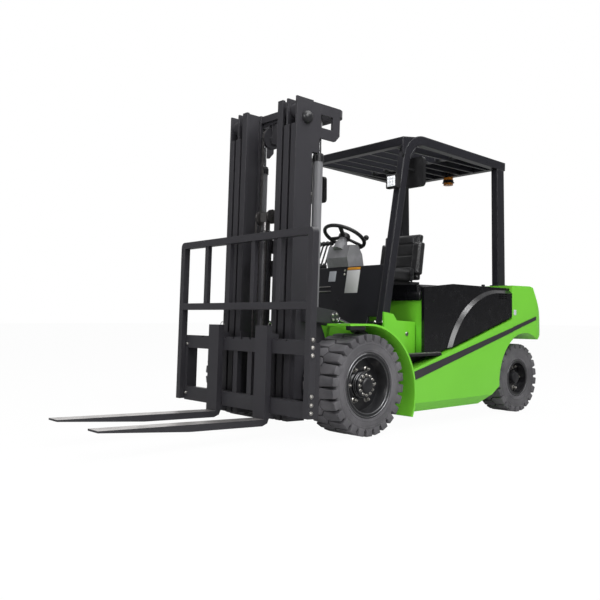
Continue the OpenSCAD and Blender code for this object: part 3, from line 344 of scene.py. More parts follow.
def select(*pieces):
    deselect()
    for piece in pieces:
        piece.select_set(True)
    bpy.context.view_layer.objects.active = pieces[0]


def block(low, high, rounding=0.003, segments=2):
    """A block between two corners, with its edges rounded in edit mode."""
    low, high = Vector(low), Vector(high)
    deselect()
    bpy.ops.mesh.primitive_cube_add(size=1, location=(low + high) / 2)
    made = bpy.context.object
    made.scale = high - low
    bpy.ops.object.transform_apply(location=True, rotation=True, scale=True)
    bpy.ops.object.mode_set(mode="EDIT")
    bpy.ops.mesh.select_all(action="SELECT")
    bpy.ops.mesh.bevel(offset=rounding, segments=segments, affect="EDGES")
    bpy.ops.object.mode_set(mode="OBJECT")
    return made


def lathe(rings, segments=40, hollow=False):
    """A turned piece about +Z: a disc is extruded through (radius, height) rings.

    A hollow piece starts as an open circle instead, and its last ring is merged with its first.
    """
    deselect()
    radius, height = rings[0]
    bpy.ops.mesh.primitive_circle_add(vertices=segments, radius=radius, fill_type="NOTHING" if hollow else "NGON",
                                      location=(0, 0, height))
    made = bpy.context.object
    bpy.ops.object.transform_apply(location=True, rotation=True, scale=True)
    bpy.ops.object.mode_set(mode="EDIT")
    bpy.ops.mesh.select_all(action="SELECT")
    for next_radius, next_height in rings[1:] + (rings[:1] if hollow else []):
        bpy.ops.mesh.extrude_region_move(TRANSFORM_OT_translate={"value": (0, 0, next_height - height)})
        share = next_radius / radius
        bpy.ops.transform.resize(value=(share, share, 1), center_override=(0, 0, next_height))
        radius, height = next_radius, next_height
    bpy.ops.mesh.select_all(action="SELECT")
    if hollow:
        bpy.ops.mesh.remove_doubles(threshold=1e-5)
    bpy.ops.mesh.normals_make_consistent(inside=False)
    bpy.ops.object.mode_set(mode="OBJECT")
    return made


def join(*pieces):
    select(*pieces)
    if len(pieces) > 1:
        bpy.context.view_layer.update()
        bpy.ops.object.join()
    return bpy.context.object


def towards(point, direction, across=(0, 1, 0)):
    """A matrix that stands +Z along a direction at a point, with +Y as near as can be to across."""
    z = Vector(direction).normalized()
    y = Vector(across)
    y = y - z * y.dot(z)
    y = y.normalized() if y.length > 1e-6 else z.orthogonal().normalized()
    return Matrix.Translation(point) @ Matrix((y.cross(z), y, z)).transposed().to_4x4()


def copies(master, matrices):
    """One mesh with a copy of the master at each matrix."""
    made = []
    for matrix in matrices:
        copy = master.copy()
        copy.data = master.data.copy()
        bpy.context.scene.collection.objects.link(copy)
        copy.matrix_world = matrix
        made.append(copy)
    bpy.data.objects.remove(master)
    return join(*made)


def settle(piece, name, material, body):
    """Applies a piece's place to its mesh, names it, dresses it and ties it to its body."""
    select(piece)
    bpy.ops.object.transform_apply(location=True, rotation=True, scale=True)
    piece.name = name
    piece.data.name = name
    piece.data.materials.clear()
    piece.data.materials.append(material)
    bpy.ops.object.shade_smooth_by_angle(angle=math.radians(35))
    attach(piece, body)
    return piece


def bolt_head(radius, height):
    """A hexagon head with a chamfered top on a round flange."""
    head = lathe([(radius, 0), (radius, height * 0.78), (radius * 0.86, height)], segments=6)
    flange = lathe([(radius * 1.3, 0), (radius * 1.3, height * 0.16), (radius * 1.1, height * 0.28)], segments=20)
    return join(head, flange)


def bolts(name, body, radius, height, places, material=None):
    made = copies(bolt_head(radius, height), [towards(point, way) for point, way in places])
    return settle(made, name, material or bolt_zinc, body)


print("helpers ready")

# %% [markdown]
# ## Wheels
# The drive wheels are dished, with six large nuts on the disc and a hub that comes forward to a ring of twelve
# bright bolts around a dark cap. A solid tyre's lugs are pointed blocks in two rows whose points interlock along
# the middle of the tread. One lug starts as a five-sided disc whose corners are moved to the block's outline.


# %% Hubs, nuts, lips and ribs
def ring(radius, thickness, out, squash=1.0):
    """A rolled ring about +Z."""
    deselect()
    bpy.ops.mesh.primitive_torus_add(major_radius=radius, minor_radius=thickness, major_segments=96,
                                     minor_segments=10)
    made = bpy.context.object
    made.scale = (1, 1, squash)
    made.location = (0, 0, out)
    bpy.ops.object.transform_apply(location=True, rotation=True, scale=True)
    return made


def around(count, radius, out, start=0.0):
    """Points on a circle about +Z."""
    turns = [start + math.tau * i / count for i in range(count)]
    return [Vector((radius * math.cos(t), radius * math.sin(t), out)) for t in turns]


LUG_ZIGZAG, LUG_GAP, LUG_END, LUG_ROUNDING = 0.016, 0.0035, 0.028, 0.004


def tread_lug(sizes):
    """One lug, with X around the tyre, Y outwards along the axle and its top at +Z."""
    side = math.pi * sizes["tread_r"] / sizes["lugs"] - LUG_GAP
    shoulder = LUG_GAP + LUG_ZIGZAG
    outline = [(0, LUG_GAP - LUG_ZIGZAG), (side, shoulder), (LUG_END, sizes["half"]), (-LUG_END, sizes["half"]),
               (-side, shoulder)]
    deselect()
    bpy.ops.mesh.primitive_circle_add(vertices=len(outline), radius=1, fill_type="NGON")
    lug = bpy.context.object
    for vertex, (x, y) in zip(lug.data.vertices, outline):
        vertex.co = (x, y, sizes["lug_foot"])
    bpy.ops.object.mode_set(mode="EDIT")
    bpy.ops.mesh.select_all(action="SELECT")
    bpy.ops.mesh.extrude_region_move(TRANSFORM_OT_translate={"value": (0, 0, sizes["tread_r"] - sizes["lug_foot"])})
    bpy.ops.mesh.select_all(action="SELECT")
    bpy.ops.mesh.normals_make_consistent(inside=False)
    bpy.ops.mesh.bevel(offset=LUG_ROUNDING, segments=2, affect="EDGES")
    bpy.ops.object.mode_set(mode="OBJECT")
    return lug


def lugged_tyre(stand, sizes):
    """A carcass ring with two staggered rows of lugs."""
    carcass = lathe(sizes["carcass"], 96, hollow=True)
    carcass.matrix_world = stand
    step = math.tau / sizes["lugs"]
    places = [stand @ towards((0, 0, 0), spoke, across=(0, 0, row))
              for row, start in ((1, 0.0), (-1, step / 2)) for spoke in around(sizes["lugs"], 1, 0, start)]
    return join(carcass, copies(tread_lug(sizes), places))


def dress_wheel(name, body, centre, side, sizes):
    """Adds a tyre, a hub cap, a ring of hub bolts, wheel nuts, rim lips in lighter metal as a painted highlight, and
    sidewall ribs to one wheel.
    """
    stand = towards(centre, (0, side, 0), across=(1, 0, 0))
    tyre = settle(lugged_tyre(stand, sizes), name + "_tyre", finish["tread_rubber"], body)
    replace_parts(tyre, "tyre_" + name)
    if "rim" in sizes:
        rim = lathe(sizes["rim"], 96, hollow=True)
        rim.matrix_world = stand
        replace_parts(settle(rim, name + "_dished_rim", finish["rim_paint"], body), "rim_" + name)
    cap = lathe(sizes["cap"])
    cap.matrix_world = stand
    settle(cap, name + "_hub_cap", cap_plastic, body)
    small = [stand @ towards(p, (0, 0, 1)) for p in around(sizes["ring_count"], sizes["ring_r"], sizes["ring_out"])]
    hub = copies(bolt_head(*sizes["ring_bolt"]), small)
    settle(hub, name + "_hub_bolts", sizes["ring_finish"], body)
    large = [stand @ towards(p, (0, 0, 1)) for p in around(6, sizes["nut_r"], sizes["nut_out"], math.pi / 6)]
    nuts = copies(join(lathe([(0.016, 0), (0.016, 0.020), (0.012, 0.026)], segments=6),
                       lathe([(0.022, 0), (0.022, 0.004), (0.018, 0.007)], segments=24),
                       lathe([(0.0085, 0.02), (0.0085, 0.034), (0.006, 0.037)], segments=14)), large)
    settle(nuts, name + "_wheel_nuts", bolt_zinc, body)
    # The lips take bare grey metal, lighter than the rim's black paint: a painted highlight on the rim's edges.
    lips = join(*[ring(r, t, out) for r, t, out in sizes["lips"]])
    lips.matrix_world = stand
    settle(lips, name + "_rim_lips", lip_highlight_metal, body)
    ribs = join(*[ring(r, t, out * s, 0.6) for r, t, out in sizes["ribs"] for s in (-1, 1)])
    ribs.matrix_world = stand
    settle(ribs, name + "_sidewall_ribs", finish["tread_rubber"], body)


cap_plastic = plastic("cap_plastic", (0.014, 0.014, 0.016), 0.35, strength=0.05)
nut_steel = metal("nut_steel", (0.42, 0.41, 0.40), 0.32)
# Painted highlight: the rim lips are bare grey metal instead of the rim's black paint, so their edges read bright.
lip_highlight_metal = metal("lip_highlight_metal", (0.26, 0.26, 0.27), 0.28)
FRONT = {
    "half": 0.150, "tread_r": 0.3526, "lug_foot": 0.297, "lugs": 26,
    "carcass": [(0.206, -0.124), (0.206, 0.124), (0.226, 0.134), (0.229, 0.146), (0.240, 0.150), (0.296, 0.150),
                (0.314, 0.138), (0.314, -0.138), (0.296, -0.150), (0.240, -0.150), (0.229, -0.146), (0.226, -0.134)],
    "rim": [(0.0515, -0.050), (0.188, -0.050), (0.188, -0.139), (0.216, -0.139), (0.216, -0.131), (0.205, -0.125),
            (0.205, 0.125), (0.218, 0.131), (0.222, 0.138), (0.218, 0.143), (0.200, 0.143), (0.194, 0.136),
            (0.187, 0.067), (0.180, 0.056), (0.100, 0.055), (0.090, 0.062), (0.088, 0.117), (0.084, 0.121),
            (0.0515, 0.121)],
    "cap": [(0.054, 0.119), (0.052, 0.133), (0.046, 0.139), (0.036, 0.143), (0.012, 0.145)],
    "ring_count": 12, "ring_r": 0.068, "ring_out": 0.121, "ring_bolt": (0.0085, 0.010), "ring_finish": bolt_zinc,
    "nut_r": 0.122, "nut_out": 0.055,
    "lips": [(0.220, 0.0055, 0.140), (0.197, 0.0045, 0.139), (0.090, 0.003, 0.082), (0.0895, 0.003, 0.098)],
    "ribs": [(0.246, 0.004, 0.150), (0.288, 0.003, 0.150)],
}
REAR = {
    "half": 0.110, "tread_r": 0.2955, "lug_foot": 0.250, "lugs": 22,
    "carcass": [(0.1455, -0.095), (0.1455, 0.095), (0.160, 0.102), (0.163, 0.107), (0.185, 0.110), (0.250, 0.110),
                (0.264, 0.101), (0.264, -0.101), (0.250, -0.110), (0.185, -0.110), (0.163, -0.107), (0.160, -0.102)],
    "cap": [(0.052, 0.066), (0.052, 0.080), (0.046, 0.092), (0.032, 0.099), (0.012, 0.102)],
    "ring_count": 8, "ring_r": 0.072, "ring_out": 0.040, "ring_bolt": (0.006, 0.007), "ring_finish": nut_steel,
    "nut_r": 0.108, "nut_out": 0.027,
    "lips": [(0.153, 0.0055, 0.103), (0.135, 0.004, 0.102)],
    "ribs": [(0.190, 0.0035, 0.110), (0.242, 0.0025, 0.110)],
}
FRONT_WHEEL = (0, 595, 355)
REAR_WHEEL = (-1975, 547, 298)
for side, hand in HANDS:
    for axle, (x, y, z), sizes in (("front_", FRONT_WHEEL, FRONT), ("rear_", REAR_WHEEL, REAR)):
        dress_wheel(axle + hand, "wheel_" + axle + hand, truck(x, side * y, z), side, sizes)
print("wheels dressed")

# %% [markdown]
# ## Cowl, cab and body trim
# The cowl is a flat dark panel under the dash. It carries blank riveted plates and a two-bar latch, all lying on
# its leaning face, so we make one matrix for that face and place them in its own flat coordinates.

# %% Cowl plates and latch
COWL_LEAN = math.radians(10.86)
cowl_normal = Vector((math.cos(COWL_LEAN), 0, math.sin(COWL_LEAN)))


def on_cowl(y, z):
    """A point of the cowl's front face."""
    return truck(-345 + 14 - math.tan(COWL_LEAN) * (z - 758), y, z)


def cowl_plate(name, y0, y1, z0, z1, depth, material, rounding=0.0008):
    made = block((-(z1 - z0) / 2000, -(y1 - y0) / 2000, 0), ((z1 - z0) / 2000, (y1 - y0) / 2000, depth), rounding)
    made.matrix_world = towards(on_cowl((y0 + y1) / 2, (z0 + z1) / 2), cowl_normal)
    return settle(made, name, material, "truck")


plate_white = paint("plate_white", (0.62, 0.62, 0.62), 0.42, peel=0.05, dust=0.05, coat=0.1)
plate_orange = paint("plate_orange", (0.78, 0.33, 0.02), 0.40, peel=0.05, dust=0.05, coat=0.1)
plate_pale = paint("plate_pale", (0.48, 0.50, 0.54), 0.40, peel=0.05, dust=0.05, coat=0.1)
cowl_plate("cowl_plate_large", 108, 250, 1012, 1196, 0.0015, plate_white)
cowl_plate("cowl_plate_band", 108, 250, 1197, 1217, 0.0015, plate_orange)
cowl_plate("cowl_plate_small", -96, -16, 1110, 1196, 0.0015, plate_pale)
cowl_plate("cowl_latch_upper", -231, -60, 1061, 1071, 0.010, nut_steel, 0.003)
cowl_plate("cowl_latch_lower", -226, -46, 1026, 1034, 0.008, nut_steel, 0.003)
bolts("cowl_bolts", "truck", 0.008, 0.006, [(on_cowl(80, z), cowl_normal) for z in (1165, 1195)])
print("cowl dressed")

# %% [markdown]
# The step has a grip strip with bright teeth, because boots slip on paint. A strip of this kind is one tooth and
# an Array modifier. Blank plates, a plug, a rubber stop and the foot flanges of the guard finish the body.


# %% Step grip and body trim
def repeat(piece, count, offset):
    """Repeats a piece along an offset with an applied Array modifier."""
    select(piece)
    bpy.ops.object.modifier_add(type="ARRAY")
    array = piece.modifiers[-1]
    array.count = count
    array.use_relative_offset = False
    array.use_constant_offset = True
    array.constant_offset_displace = offset
    bpy.ops.object.modifier_apply(modifier=array.name)
    return piece


def truck_block(name, low, high, material, rounding=0.003, body="truck"):
    corners = (truck(*low), truck(*high))
    low = [min(a, b) for a, b in zip(*corners)]
    high = [max(a, b) for a, b in zip(*corners)]
    return settle(block(low, high, rounding), name, material, body)


FENDER_TOP, STEP_TOP = 780, 555
for side, hand in HANDS:
    edge = sorted((side * 690, side * 734))
    tooth = block(truck(-800, edge[0], STEP_TOP), truck(-788, edge[1], STEP_TOP + 7), 0.002)
    teeth = repeat(tooth, 16, (0.022, 0, 0))
    strip = block(truck(-802, edge[0] - 2, STEP_TOP), truck(-448, edge[1] + 1, STEP_TOP + 2), 0.0006)
    settle(join(teeth, strip), "step_grip_" + hand, nut_steel, "truck")
    truck_block("fender_stop_" + hand, (30, side * 690, 736), (180, side * 738, 765), hose_rubber,
                0.006)
    truck_block("guard_foot_" + hand, (-402, side * 497, FENDER_TOP), (-296, side * 591, FENDER_TOP + 8),
                finish["guard_paint"])
    bolts("guard_foot_bolts_" + hand, "truck", 0.010, 0.010,
          [(truck(x, side * y, FENDER_TOP + 8), (0, 0, 1)) for x in (-392, -306) for y in (506, 582)])
    truck_block("pillar_foot_" + hand, (-1925, side * 500, 1100), (-1782, side * 588, 1109), finish["guard_paint"])
    truck_block("cab_return_" + hand, (-662, side * 606, STEP_TOP + 1), (-652, side * 675, 757), finish["body_paint"])
    plug = lathe([(0.017, 0), (0.017, 0.003), (0.013, 0.006)], segments=24)
    plug.matrix_world = towards(truck(-552, side * 605, 700), (0, side, 0))
    settle(plug, "cab_plug_" + hand, nut_steel, "truck")
    truck_block("weight_plate_" + hand, (-1842, side * 726, 846), (-1806, side * 729, 892), plate_pale,
                0.0008)
truck_block("hood_lip", (-650, -672, 952), (-626, 672, 1026), finish["hood_plastic"], 0.011)
knob = lathe([(0.006, 0), (0.006, 0.012), (0.014, 0.016), (0.016, 0.026), (0.012, 0.032)], segments=24)
knob.location = truck(-1600, 560, 1075)
settle(knob, "hood_knob", cap_plastic, "truck")
print("body trim done")

# %% [markdown]
# ## Lamps and mirrors
# A work lamp shows a square lens in a deep bezel with a grid of small domes. The mirror's glass is a thin plate on
# the back of its shell. The lamp under the roof hangs from a dark base with a flared lip.

# %% Lamp lenses, mirror glass and roof lamp
lens_clear, lens_shader, lens_place = start_material("lens_clear")
feed(lens_shader, "Base Color", (0.70, 0.72, 0.75, 1))
feed(lens_shader, "Roughness", lens_place.noise(300.0) * 0.1 + 0.08)
feed(lens_shader, "Emission Color", (1, 1, 1, 1))
feed(lens_shader, "Emission Strength", 0.18)
mirror_glass = metal("mirror_glass", (0.72, 0.74, 0.76), 0.02, marks=0.02)
LAMP_FACE_X = -434
for side, hand in HANDS:
    y0, y1 = sorted((side * 512, side * 590))
    glass = block(truck(LAMP_FACE_X - 2, y0, 1811), truck(LAMP_FACE_X + 4, y1, 1889), 0.0025)
    domes = copies(lathe([(0.011, 0), (0.010, 0.004), (0.006, 0.007), (0.002, 0.008)], segments=16),
                   [towards(truck(LAMP_FACE_X + 4, side * 551 + dy, 1850 + dz), (1, 0, 0))
                    for dy in (-25, 0, 25) for dz in (-25, 0, 25)])
    settle(join(glass, domes), "work_lamp_lens_" + hand, lens_clear, "truck")
    m0, m1 = sorted((side * 472, side * 638))
    truck_block("mirror_glass_" + hand, (-722, m0, 1846), (-719, m1, 2054), mirror_glass, 0.0012)
base = lathe([(0.049, 0.0), (0.049, -0.016), (0.056, -0.020), (0.056, -0.024), (0.046, -0.026)])
base.location = truck(-1850, 0, 2107)
settle(base, "roof_lamp_base", finish["lamp_housing"], "truck")
print("lamps and mirrors done")

# %% [markdown]
# ## Seat
# A seat pad is foam under stretched vinyl. A box with round edges never looks full, so the pads are blown up by a
# short cloth simulation: remesh evenly, push with pressure, cap the travel, then press the sewn channels in.


# %% Padded seat
def blow_up(piece, cap):
    """Swells a closed mesh with cloth pressure and caps how far any point may move."""
    rest = [v.co.copy() for v in piece.data.vertices]
    bpy.ops.object.modifier_add(type="CLOTH")
    cloth = piece.modifiers[-1]
    cloth.settings.use_pressure = True
    cloth.settings.uniform_pressure_force = 4
    cloth.settings.effector_weights.gravity = 0
    for step in range(1, 21):
        bpy.context.scene.frame_set(step)
    bpy.ops.object.modifier_apply(modifier=cloth.name)
    bpy.context.scene.frame_set(1)
    for vertex, start in zip(piece.data.vertices, rest):
        move = vertex.co - start
        if move.length > cap:
            vertex.co = start + move * (cap / move.length)


def press_channels(piece, frame_matrix, channels, depth, width):
    """Presses straight channels into a pad. A channel is (axis, place, other axis, low, high)."""
    inverse = frame_matrix.inverted()
    for vertex in piece.data.vertices:
        spot = inverse @ vertex.co
        for axis, place, other, low, high in channels:
            away = abs(spot[axis] - place)
            if away < width * 3 and low < spot[other] < high:
                vertex.co -= vertex.normal * depth * math.exp(-(away / width) ** 2)


def pad(name, node, blocks, stand, channels, cap):
    """A padded piece from overlapping round-edged blocks given in the pad's own frame."""
    body = join(*[block(low, high, 0.018, 3) for low, high in blocks])
    body.matrix_world = stand
    select(body)
    bpy.ops.object.transform_apply(location=True, rotation=True, scale=True)
    body.data.remesh_voxel_size = 0.006
    bpy.ops.object.voxel_remesh()
    blow_up(body, cap)
    press_channels(body, stand, channels, 0.007, 0.006)
    bpy.ops.object.modifier_add(type="SUBSURF")
    rounding = body.modifiers[-1]
    rounding.levels = rounding.render_levels = 1
    bpy.ops.object.modifier_apply(modifier=rounding.name)
    settle(body, name, finish["seat_vinyl"], "truck")
    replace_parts(body, node)
    return body


SEAT_Z = 1125
cushion_frame = Matrix.Translation(truck(-880, 0, SEAT_Z))
cushion = pad("seat_cushion_pad", "seat_cushion", [
    ((-0.215, -0.150, 0.009), (0.222, 0.150, 0.080)),
    ((-0.215, 0.138, 0.009), (0.215, 0.234, 0.094)),
    ((-0.215, -0.234, 0.009), (0.215, -0.138, 0.094)),
    ((0.165, -0.225, 0.009), (0.226, 0.225, 0.084)),
], cushion_frame, [(1, -0.144, 0, -0.3, 0.17), (1, 0.144, 0, -0.3, 0.17), (0, 0.16, 1, -0.23, 0.23),
                   (0, -0.03, 1, -0.144, 0.144)], 0.008)
BACK_LEAN = math.radians(8.8)
back_frame = Matrix.Translation(truck(-1156, 0, SEAT_Z)) @ Matrix.Rotation(-BACK_LEAN, 4, "Y")
back = pad("seat_back_pad", "seat_back", [
    ((-0.034, -0.150, 0.010), (0.016, 0.150, 0.418)),
    ((-0.034, 0.138, 0.060), (0.034, 0.234, 0.350)),
    ((-0.034, -0.234, 0.060), (0.034, -0.138, 0.350)),
    ((-0.034, -0.205, 0.330), (0.022, 0.205, 0.424)),
    ((-0.034, -0.215, 0.012), (0.018, 0.215, 0.090)),
], back_frame, [(1, -0.144, 2, 0.06, 0.40), (1, 0.144, 2, 0.06, 0.40), (2, 0.335, 1, -0.2, 0.2),
                (2, 0.235, 1, -0.144, 0.144), (2, 0.130, 1, -0.144, 0.144)], 0.007)
print("seat pads:", len(cushion.data.polygons), len(back.data.polygons), "faces")

# %% [markdown]
# ## Leaf chains
# A leaf chain is flat plates laced on pins. One plate starts as a disc whose upper half is moved up by one pitch,
# which makes its two round ends. Runs that grow as the mast rises are laced from two sets of plates: the outer
# plates stay with the anchor and the inner plates ride up with the sheave, so no gap opens.

# %% Chain plates and runs
CHAIN_PITCH = 0.0254
PLATE_R = 0.0068


def chain_plate(y, thickness=0.0026):
    """One plate from a pin at z = 0 to a pin one pitch up, standing across at y."""
    deselect()
    bpy.ops.mesh.primitive_circle_add(vertices=12, radius=PLATE_R, fill_type="NGON")
    plate = bpy.context.object
    bpy.ops.object.mode_set(mode="EDIT")
    bpy.ops.mesh.select_mode(type="VERT")
    bpy.ops.mesh.select_all(action="DESELECT")
    bpy.ops.object.mode_set(mode="OBJECT")
    for vertex in plate.data.vertices:
        vertex.select = vertex.co.y > 1e-5
    bpy.ops.object.mode_set(mode="EDIT")
    bpy.ops.transform.translate(value=(0, CHAIN_PITCH, 0))
    bpy.ops.mesh.select_all(action="SELECT")
    bpy.ops.mesh.extrude_region_move(TRANSFORM_OT_translate={"value": (0, 0, thickness)})
    bpy.ops.mesh.select_all(action="SELECT")
    bpy.ops.mesh.normals_make_consistent(inside=False)
    bpy.ops.object.mode_set(mode="OBJECT")
    plate.matrix_world = Matrix.Translation((0, y + thickness / 2, 0)) @ Matrix.Rotation(math.radians(90), 4, "X")
    select(plate)
    bpy.ops.object.transform_apply(location=True, rotation=True, scale=True)
    return plate


def chain_pin(z, half=0.0062):
    pin = lathe([(0.0034, -half), (0.0034, half)], segments=8)
    pin.matrix_world = towards((0, 0, z), (0, 1, 0), across=(1, 0, 0))
    select(pin)
    bpy.ops.object.transform_apply(location=True, rotation=True, scale=True)
    return pin


def lift_by(piece, height):
    piece.location = (0, 0, height)
    select(piece)
    bpy.ops.object.transform_apply(location=True, rotation=True, scale=True)
    return piece


def chain_period(outer, inner):
    """Two pitches of chain with its outer plates, its inner plates, or both."""
    made = []
    if outer:
        made += [chain_plate(-0.0047), chain_plate(0.0047), chain_pin(0), chain_pin(CHAIN_PITCH)]
    if inner:
        made += [lift_by(chain_plate(y), CHAIN_PITCH) for y in (-0.0016, 0.0016)]
        made += [chain_plate(0.0, 0.0022), chain_pin(0, 0.003), chain_pin(CHAIN_PITCH, 0.003)]
    return join(*made)


def chain_run(name, body, x, y, low, high, outer=True, inner=True):
    """A straight run on the mast between two heights in millimetres, on both sides of the truck."""
    count = int((high - low) / 1000 / (2 * CHAIN_PITCH))
    run = repeat(chain_period(outer, inner), count, (0, 0, 2 * CHAIN_PITCH))
    runs = copies(run, [towards(mast(x, s * y, low + 8), MAST_UP) for s in (-1, 1)])
    return settle(runs, name, finish["chain_steel"], body)


def chain_wrap(name, body, x, y, z, radius):
    """The links that bend over a sheave."""
    count = round(math.pi * radius / CHAIN_PITCH)
    places = []
    for s in (-1, 1):
        centre = mast(x, s * y, z)
        for i in range(count):
            turn = math.pi * (i + 0.5) / count
            spoke = MAST_FORE * math.cos(turn) + MAST_UP * math.sin(turn)
            along = MAST_UP * math.cos(turn) - MAST_FORE * math.sin(turn)
            places.append(towards(centre + spoke * radius - along * CHAIN_PITCH / 2, along))
    link = join(chain_plate(-0.0047), chain_plate(0.0047), chain_plate(0.0), chain_pin(0))
    return settle(copies(link, places), name, finish["chain_steel"], body)


MAIN_LOW, MAIN_TOP, MAIN_ANCHOR = 420, 2170, 330
CARRIAGE_LOW, CARRIAGE_TOP, BARREL_ANCHOR = 640, 1545, 760
main_front = chain_run("main_chain_front", "mast_inner", 346, 96, MAIN_LOW, MAIN_TOP)
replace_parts(main_front, "main_chains")
mast(346, 0, MAIN_LOW)
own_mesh(main_front)
chain_run("main_chain_rear_outer", "mast_outer", 190, 96, MAIN_ANCHOR, MAIN_TOP, inner=False)
chain_run("main_chain_rear_inner", "mast_middle", 190, 96, MAIN_ANCHOR, MAIN_TOP, outer=False)
chain_wrap("main_chain_wrap", "mast_middle", 268, 96, MAIN_TOP, 0.078)
carriage_front = chain_run("carriage_chain_front", "carriage", 412.5, 64, CARRIAGE_LOW, CARRIAGE_TOP)
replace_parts(carriage_front, "carriage_chains")
mast(412, 0, CARRIAGE_LOW)
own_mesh(carriage_front)
chain_run("carriage_chain_rear_outer", "mast_inner", 316.5, 64, BARREL_ANCHOR, CARRIAGE_TOP, inner=False)
chain_run("carriage_chain_rear_inner", "crosshead", 316.5, 64, BARREL_ANCHOR + 30, CARRIAGE_TOP, outer=False)
chain_wrap("carriage_chain_wrap", "crosshead", 364.5, 64, CARRIAGE_TOP, 0.048)
print("chains laced, links of", CHAIN_PITCH * 1000, "mm")

# %% [markdown]
# ## Mast hardware
# Steel pipes feed both lift cylinders from a cross pipe at the foot of the mast, so they are one bent tube with
# clamps. Cylinder glands, roller caps, tilt pin plates and the bolts of the backrest are lathe pieces and copies.


# %% Pipes, glands, caps and bolts
def bent_pipe(points, radius, bend=0.045):
    """A tube through corner points, with each corner rounded by a short arc."""
    path = [Vector(points[0])]
    for before, corner, after in zip(points, points[1:], points[2:]):
        start = corner + (before - corner).normalized() * min(bend, (before - corner).length / 2)
        end = corner + (after - corner).normalized() * min(bend, (after - corner).length / 2)
        for step in range(7):
            t = step / 6
            path.append(start * (1 - t) ** 2 + corner * (2 * t * (1 - t)) + end * t ** 2)
    path.append(Vector(points[-1]))
    curve = bpy.data.curves.new("pipe", "CURVE")
    curve.dimensions = "3D"
    curve.bevel_depth = radius
    curve.bevel_resolution = 3
    curve.use_fill_caps = True
    spline = curve.splines.new("POLY")
    spline.points.add(len(path) - 1)
    for spot, place in zip(spline.points, path):
        spot.co = (*place, 1)
    tube = bpy.data.objects.new("pipe", curve)
    bpy.context.scene.collection.objects.link(tube)
    select(tube)
    bpy.ops.object.convert(target="MESH")
    return bpy.context.object


def mast_lathe(name, body, rings, place, way, material, segments=40):
    made = copies(lathe(rings, segments), [towards(mast(*p), w) for p, w in zip(place, way)])
    return settle(made, name, material, body)


BAR_FACE_X, BACKREST_SIDE_Y = 557, 785
both_sides = (-1, 1)
pipe_corners = [(168, 312, 1968), (206, 302, 1940), (206, 302, 178), (206, -302, 178), (206, -302, 1940),
                (168, -312, 1968)]
settle(bent_pipe([mast(*p) for p in pipe_corners], 0.009), "lift_pipe", cap_plastic, "mast_outer")
clamps = [block(mast(196, s * 302 - 14, z), mast(224, s * 302 + 14, z + 22), 0.003)
          for s in both_sides for z in (700, 1200, 1700)]
settle(join(*clamps), "pipe_clamps", nut_steel, "mast_outer")
mast_lathe("lift_glands", "mast_outer", [(0.042, -0.055), (0.042, -0.012), (0.038, -0.008), (0.038, 0.0),
                                         (0.030, 0.006)],
           [(160, s * 322, 2005) for s in both_sides], [MAST_UP] * 2, cap_plastic)
mast_lathe("free_lift_gland", "mast_inner", [(0.051, -0.06), (0.051, -0.014), (0.046, -0.008), (0.046, 0.0),
                                             (0.036, 0.008)], [(364.5, 0, 1440)], [MAST_UP], cap_plastic)
mast_lathe("roller_caps", "mast_outer", [(0.046, 0), (0.045, 0.012), (0.039, 0.026), (0.027, 0.036), (0.008, 0.041)],
           [(345, s * 395, 2225) for s in both_sides], [(0, s, 0) for s in both_sides], cap_plastic)
mast_lathe("tilt_pin_plates", "mast_outer", [(0.036, 0), (0.036, 0.006), (0.030, 0.009), (0.012, 0.010)],
           [(106, s * 484, 822) for s in both_sides], [(0, s, 0) for s in both_sides], finish["mast_paint"])
bolts("tilt_pin_bolts", "mast_outer", 0.007, 0.007,
      [(mast(106 + 26 * math.cos(t), s * 493, 822 + 26 * math.sin(t)), (0, s, 0))
       for s in both_sides for t in (0.6, 2.2, 3.8, 5.4)])
bolts("backrest_bolts", "shifter", 0.011, 0.011,
      [(mast(575, s * BACKREST_SIDE_Y, z), (0, s, 0)) for s in both_sides for z in (195, 245, 300, 560, 610, 660)])
bolts("fork_bar_bolts", "shifter", 0.010, 0.009,
      [(mast(BAR_FACE_X, s * 712, z), MAST_FORE) for s in both_sides for z in (205, 590)])
print("mast hardware done")

# %% [markdown]
# Each fork hangs by a hook with a sprung lock pin on top: a turned stem with a ring pull, riding on its fork.

# %% Fork lock pins
for s, hand in HANDS:
    stem = lathe([(0.013, 0), (0.013, 0.010), (0.008, 0.012), (0.008, 0.040), (0.011, 0.042), (0.011, 0.050),
                  (0.006, 0.053)], segments=20)
    stem.matrix_world = towards(mast(528, s * 285, 690), MAST_UP)
    pull = ring(0.015, 0.0025, 0)
    pull.matrix_world = towards(mast(528, s * 285, 752), (0, 1, 0), across=(1, 0, 0))
    settle(join(stem, pull), "fork_lock_" + hand, nut_steel, "fork_" + hand)
print("fork locks done")

# %% [markdown]
# ## Controls
# The steering wheel gets a domed horn cap, the levers get rubber bellows and the console a sloped display with a
# raised frame. The belt's buckle stands beside the cushion on a short stalk.

# %% Horn cap, bellows, display and buckle
COLUMN_LEAN = math.radians(28)
column_way = Vector((-math.sin(COLUMN_LEAN), 0, math.cos(COLUMN_LEAN)))
column_foot = truck(-440, 0, 1390)
cap = lathe([(0.046, 0.102), (0.046, 0.110), (0.041, 0.120), (0.028, 0.127), (0.010, 0.130)])
cap.matrix_world = towards(column_foot, column_way)
settle(cap, "horn_cap", cap_plastic, "truck")
bellows = [(0.024, 0.0), (0.018, 0.008), (0.023, 0.014), (0.017, 0.021), (0.021, 0.027), (0.014, 0.035),
           (0.010, 0.044)]
boots = copies(lathe(bellows, 24), [towards(truck(-460, -210 - 48 * i, 1225), (0, 0, 1)) for i in range(4)])
settle(boots, "lever_bellows", hose_rubber, "truck")
shroud = lathe([(0.052, -0.03), (0.050, 0.02), (0.040, 0.055), (0.034, 0.062)])
shroud.matrix_world = towards(column_foot, column_way)
settle(shroud, "column_shroud", finish["dash_plastic"], "truck")
